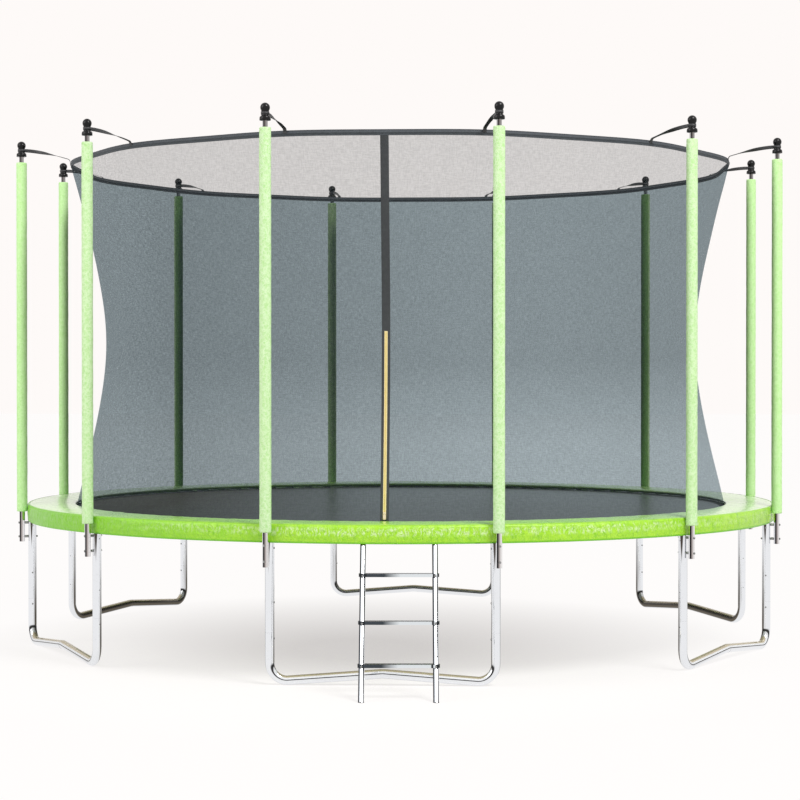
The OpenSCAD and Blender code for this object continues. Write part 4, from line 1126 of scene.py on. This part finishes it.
def strap_path(azimuth, s):
    """Middle line of a strap from its cap (s 0) down to the hem (s 1)."""
    start_r = POLE_R - STRAP_LOOP_R - STRAP_LOOP_T * 0.4
    hem_out = float(hem_radius(azimuth)) + 0.0062
    bend_r, end_r = hem_out + 0.006, hem_out + 0.0006
    run = np.clip(s / STRAP_BEND_AT, 0, 1)
    tail = np.clip((s - STRAP_BEND_AT) / (1 - STRAP_BEND_AT), 0, 1)
    radius = start_r + (bend_r - start_r) * run + (end_r - bend_r) * smooth(tail * 1.6)
    height = STRAP_LOOP_Z + (STRAP_BEND_Z - STRAP_LOOP_Z) * run ** 1.6 + (STRAP_END_Z - STRAP_BEND_Z) * tail
    return polar(azimuth, radius, height)


def strap_run(azimuth):
    """The free part of a strap: upright at the cap, a quarter turn later flat on the hem."""
    s = np.linspace(0, 1, 26)
    side = spoke(azimuth)[1]
    path = strap_path(azimuth, s)
    along = np.gradient(path, axis=0)
    along /= np.linalg.norm(along, axis=1, keepdims=True)
    upright = np.cross(along, side)
    upright /= np.linalg.norm(upright, axis=1, keepdims=True)
    twist = (smooth((s - 0.12) / 0.6) * np.pi / 2)[:, None]
    across = upright * np.cos(twist) + side * np.sin(twist)
    face = np.cross(along, across)
    section = [(-1, -1), (-0.6, -1.15), (0.6, -1.15), (1, -1), (1, 1), (0.6, 1.15), (-0.6, 1.15), (-1, 1)]
    rows = [path + across * STRAP_HALF * a + face * STRAP_T_HALF * b for a, b in section]
    return grid(np.array(rows), wrap_rows=True, size=(0.30, 0.04))


def make_straps():
    """Webbing from each cap's neck to the hem."""
    for number, azimuth in enumerate(POLE_AZIMUTHS):
        strap = piece(f"net_strap_{number + 1}", [strap_loop(azimuth), strap_run(azimuth)], STRAP)
        if number == 0:
            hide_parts("net_straps")


# ---- Entrance zip ----

ZIP_CENTRE_R, ZIP_CENTRE_Z, ZIP_ARC_R = 5.59195, 1.93852, 3.900
ZIP_LOW, ZIP_HIGH = 0.790, 1.719
PLACKET_LOW, PLACKET_HALF = 0.763, 0.021
TAPE_HALF, TAPE_T = 0.008, 0.0012
TOOTH_PITCH, TOOTH_HALF, TOOTH_T = 0.0032, 0.0026, 0.0012


def zip_radius(z):
    """How far from the ring's axis the zip's inner face lies, on an arc of its own."""
    return ZIP_CENTRE_R - np.sqrt(ZIP_ARC_R ** 2 - (z - ZIP_CENTRE_Z) ** 2)


def front_row(x, radius, heights):
    """Points up the front of the net at a sideways place x."""
    return np.stack([np.full_like(heights, x), MIDDLE_Y - radius, heights], -1)


def strip(heights, inner, outer, half_width, ridge=0.0):
    """A band up the net at the front, from an inner to an outer radius. Its long edges are
    rounded, with a sewn ridge along them."""
    rows = []
    for x, inset in ((-1, 0.35), (-0.93, 0.0), (-0.5, 0.0), (0, 0.0), (0.5, 0.0), (0.93, 0.0), (1, 0.35)):
        lift = ridge if abs(x) == 0.93 else 0.0
        rows.append(front_row(x * half_width, outer - (outer - inner) * inset + lift, heights))
    rows += [front_row(x * half_width, inner, heights) for x in (1, 0, -1)]
    return grid(np.array(rows), wrap_rows=True, size=(float(np.ptp(heights)) * 1.04, half_width * 4))


def make_placket():
    """Band behind the zip, from the net's foot to its hem, a little lower under the zip's tape."""
    heights = np.linspace(PLACKET_LOW, HEM_LOW, 120)
    base = net_point_radius(np.zeros_like(heights), heights)
    in_zip = (heights > ZIP_LOW) & (heights < ZIP_HIGH)
    outer = base + 0.0033
    outer = np.where(in_zip, np.maximum(outer - 0.001, zip_radius(heights) - 0.0003), outer)
    placket = piece("zip_placket_band", [strip(heights, base + 0.0013, outer, PLACKET_HALF, ridge=0.0004)],
                    PLACKET)
    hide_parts("zip_placket")


def make_zip_tape():
    heights = np.linspace(ZIP_LOW, ZIP_HIGH, 90)
    arc = zip_radius(heights)
    tape = piece("zip_tape_band", [strip(heights, arc, arc + TAPE_T, TAPE_HALF)], ZIP_TAPE)
    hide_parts("zip_tape")


def make_zip_chain():
    """Teeth up the tape, each a small ridge, set off to the left and right in turn."""
    teeth = []
    for i, height in enumerate(np.arange(ZIP_LOW + 0.006, ZIP_HIGH - 0.006, TOOTH_PITCH)):
        offset = 0.0004 if i % 2 else -0.0004
        r = float(zip_radius(height)) + TAPE_T
        section = [(0, -0.0013), (TOOTH_T, -0.0009), (TOOTH_T, 0.0009), (0, 0.0013)]
        rows = [[[x + offset, MIDDLE_Y - (r + out), height + rise] for x in (-TOOTH_HALF, TOOTH_HALF)]
                for out, rise in section]
        teeth.append(grid(np.array(rows), size=(0.005, 0.003)))
    piece("zip_chain", teeth, ZIP_CHAIN)


# ---- Foam sleeves and caps ----

TUBE_GAP = 0.0003
# (radius, distance from the sleeve's end): the lower end from the tube outwards, the upper one back in
SLEEVE_LOW_END = [(POLE_LOW_TUBE_R + TUBE_GAP, 0.0035), (0.0200, 0.0008), (0.0250, 0.0), (0.0276, 0.0012),
                  (0.0287, 0.0036), (FOAM_R, 0.0075)]
SLEEVE_HIGH_END = [(FOAM_R, 0.0070), (0.0287, 0.0034), (0.0276, 0.0011), (0.0250, 0.0), (0.0190, 0.0006),
                   (POLE_TOP_TUBE_R + TUBE_GAP, 0.0030)]
# (radius, height above the cap's foot) from the tube over the collar to the neck
CAP_COLLAR = [(POLE_TOP_TUBE_R + TUBE_GAP, 0.0020), (0.0200, 0.0006), (0.0252, 0.0002), (0.0268, 0.0006),
              (CAP_COLLAR_R, 0.0022), (CAP_COLLAR_R, 0.0090), (0.0271, 0.0135), (0.0258, 0.0175),
              (0.0242, 0.0195), (0.0222, 0.0205), (0.0200, 0.0218), (0.0187, 0.0242), (CAP_NECK_R, 0.0275),
              (CAP_NECK_R, 0.0430), (0.0188, 0.0458)]


def sleeve_wobble(seed):
    """Unevenness of a sleeve's cloth, with a welded line on the side towards the net."""
    def wobble(r, z, turn):
        u = turn / (2 * np.pi)
        v = (z - FOAM_LOW) / (FOAM_HIGH - FOAM_LOW)
        soft = 0.0005 * ripple(u, v, 5, 34, seed) + 0.00035 * ripple(u, v, 9, 110, seed + 20)
        weld = 0.0008 * hump((turn - np.pi) * FOAM_R, 0.0022)
        return (soft + weld - 0.0003) * (r > 0.0255)
    return wobble


def make_sleeves():
    """A foam sleeve on each pole. Each packed foam pair is round one leg's azimuth."""
    side = [(FOAM_R, z) for z in np.linspace(FOAM_LOW + 0.014, FOAM_HIGH - 0.014, 150)]
    profile = [(r, FOAM_LOW + rise) for r, rise in SLEEVE_LOW_END] + side
    profile += [(r, FOAM_HIGH - drop) for r, drop in SLEEVE_HIGH_END]
    for number, azimuth in enumerate(POLE_AZIMUTHS):
        sleeve = piece(f"foam_sleeve_{number + 1}", [lathe(profile, azimuth, 40, sleeve_wobble(50 + number))],
                       FOAM)
        pair = int(azimuth / (2 * POLE_STEP) + 0.5) % POLE_PAIRS + 1
        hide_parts(f"foam_pair_{pair}")


def make_caps():
    """Ball-topped caps with a necked collar that flares over the pole's end."""
    ball_start = math.acos(CAP_NECK_R / CAP_BALL_R)
    ball = [(CAP_BALL_R * math.cos(a), CAP_BALL_Z + CAP_BALL_R * math.sin(a))
            for a in np.linspace(-ball_start * 0.86, math.pi / 2 - 0.001, 26)]
    profile = [(r, CAP_LOW + rise) for r, rise in CAP_COLLAR] + ball
    for number, azimuth in enumerate(POLE_AZIMUTHS):
        cap = piece(f"pole_cap_{number + 1}", [lathe(profile, azimuth, 44)], CAP)
        if number == 0:
            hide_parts("pole_caps")


# ---- Studio ----

BACKDROP = srgb(254, 250, 248)
FLOOR_WHITE = srgb(255, 253, 252)
FLOOR_NEAR, FLOOR_GLOW = (0.42, 0.412, 0.408, 1), 0.60      # under the trampoline, where it takes shadow
FLOOR_BOUNCE = (0.9, 0.88, 0.87, 1)     # for the light that it throws back at the trampoline
ROOM_LIGHT, ROOM_POWER = (1, 0.99, 0.98, 1), 0.42
THROUGH_NET = (0.81, 0.945, 1.0, 1.0)   # what two layers of net leave of the backdrop
FLOOR_SIZE, FLOOR_DROP = 160, 0.0005    # the floor lies just below the feet
SHADOW_MIDDLE = (-0.2, MIDDLE_Y - 0.7, 0.0)
SHADOW_WIDE, SHADOW_DEEP = 2.4, 2.9     # half the width and half the depth of the shadow's oval
LAMP_TARGET = (0, MIDDLE_Y, 1.0)
CAMERA_AZ, CAMERA_PITCH = 2.4728, -0.528
CAMERA_DISTANCE, CAMERA_HEIGHT = 11.8947, 1.4693
CAMERA_SENSOR, CAMERA_LENS, CAMERA_SHIFT_X = 36, 91.977, -0.000946


def behind_net(tree, colour):
    """The backdrop's colour, or the bluer one for a line of sight through both sides of the net."""
    layers = node(tree, "ShaderNodeLightPath").outputs["Transparent Depth"]
    return blend_colour(tree, maths(tree, "GREATER_THAN", layers, 1.5), colour, THROUGH_NET)


def seen_directly(tree):
    """1 for rays from the camera, and for those that metal and glass send on."""
    path = node(tree, "ShaderNodeLightPath").outputs
    return greatest(tree, path["Is Camera Ray"], path["Is Glossy Ray"], path["Is Transmission Ray"])


def from_shadow_middle(tree):
    """0 at the middle of the shadow's oval, 1 at its rim."""
    position = node(tree, "ShaderNodeNewGeometry").outputs["Position"]
    offset = vector_maths(tree, "SUBTRACT", position, SHADOW_MIDDLE)
    offset = vector_maths(tree, "MULTIPLY", offset, (1 / SHADOW_WIDE, 1 / SHADOW_DEEP, 0))
    return node(tree, "ShaderNodeVectorMath", {0: offset}, operation="LENGTH").outputs["Value"]


def make_floor_material():
    """White as the backdrop, with the shadow kept in an oval under the trampoline."""
    material = bpy.data.materials.new("studio floor")
    material.use_nodes = True
    t = material.node_tree
    t.nodes.clear()
    shade = node(t, "ShaderNodeBsdfDiffuse", {"Color": FLOOR_NEAR}).outputs[0]
    glow = node(t, "ShaderNodeEmission", {"Color": BACKDROP, "Strength": FLOOR_GLOW}).outputs[0]
    near = node(t, "ShaderNodeAddShader", {0: shade, 1: glow}).outputs[0]
    far = node(t, "ShaderNodeEmission", {"Color": behind_net(t, FLOOR_WHITE), "Strength": 1.0}).outputs[0]
    fading = remap(t, from_shadow_middle(t), 0.15, 1.0, 0.0, 0.95)
    shown = node(t, "ShaderNodeMixShader", {0: fading, 1: near, 2: far}).outputs[0]
    bounce = node(t, "ShaderNodeBsdfDiffuse", {"Color": FLOOR_BOUNCE}).outputs[0]
    final = node(t, "ShaderNodeMixShader", {0: seen_directly(t), 1: bounce, 2: shown}).outputs[0]
    node(t, "ShaderNodeOutputMaterial", {"Surface": final})
    return material


def make_floor():
    """Pale floor that runs out into the backdrop."""
    bpy.ops.mesh.primitive_plane_add(size=FLOOR_SIZE, location=(0, 0, -FLOOR_DROP))
    floor = bpy.context.object
    floor.name = "studio_floor"
    floor.data.materials.append(make_floor_material())


def make_world():
    """Soft light all round, and the backdrop for what is seen directly."""
    world = bpy.data.worlds.new("studio")
    bpy.context.scene.world = world
    world.use_nodes = True
    t = world.node_tree
    t.nodes.clear()
    light = node(t, "ShaderNodeBackground", {"Color": ROOM_LIGHT, "Strength": ROOM_POWER}).outputs[0]
    shown = node(t, "ShaderNodeBackground", {"Color": behind_net(t, BACKDROP), "Strength": 1.0}).outputs[0]
    final = node(t, "ShaderNodeMixShader", {0: seen_directly(t), 1: light, 2: shown}).outputs[0]
    node(t, "ShaderNodeOutputWorld", {"Surface": final})


def aimed_at(direction):
    """Turn that points a lamp or camera along a direction."""
    return direction.to_track_quat("-Z", "Y").to_euler()


def add_lamp(name, place, size, power):
    """A round area lamp that looks at the trampoline's middle."""
    data = bpy.data.lights.new(name, "AREA")
    data.shape = "DISK"
    data.size = size
    data.energy = power
    lamp = bpy.data.objects.new(name, data)
    lamp.location = place
    lamp.rotation_euler = aimed_at(Vector(LAMP_TARGET) - Vector(place))
    bpy.context.scene.collection.objects.link(lamp)


def make_lights():
    add_lamp("key", (5.4, -7.0, 10.0), 5.0, 1060)
    add_lamp("fill", (-8.0, -5.0, 6.0), 8.0, 420)


def make_camera():
    """A long lens from the front, slightly right of the middle, at about 1.5 m."""
    data = bpy.data.cameras.new("camera")
    data.sensor_width = CAMERA_SENSOR
    data.lens = CAMERA_LENS
    data.shift_x = CAMERA_SHIFT_X
    data.clip_end = 300
    camera = bpy.data.objects.new("camera", data)
    camera.location = polar(CAMERA_AZ, CAMERA_DISTANCE, CAMERA_HEIGHT)
    turn, pitch = math.radians(CAMERA_AZ), math.radians(CAMERA_PITCH)
    look = (-math.sin(turn) * math.cos(pitch), math.cos(turn) * math.cos(pitch), math.sin(pitch))
    camera.rotation_euler = aimed_at(Vector(look))
    bpy.context.scene.collection.objects.link(camera)
    bpy.context.scene.camera = camera


bpy.context.scene.view_settings.view_transform = "Standard"
make_camera()
make_world()
make_lights()
make_floor()
finish_cad_nodes()
make_rings()
make_springs()
make_mat()
make_edge_band()
make_stitches()
make_ring_loops()
make_cover()
make_skirt()
make_hem()
make_net_cloth()
make_straps()
make_placket()
make_zip_tape()
make_zip_chain()
make_sleeves()
make_caps()
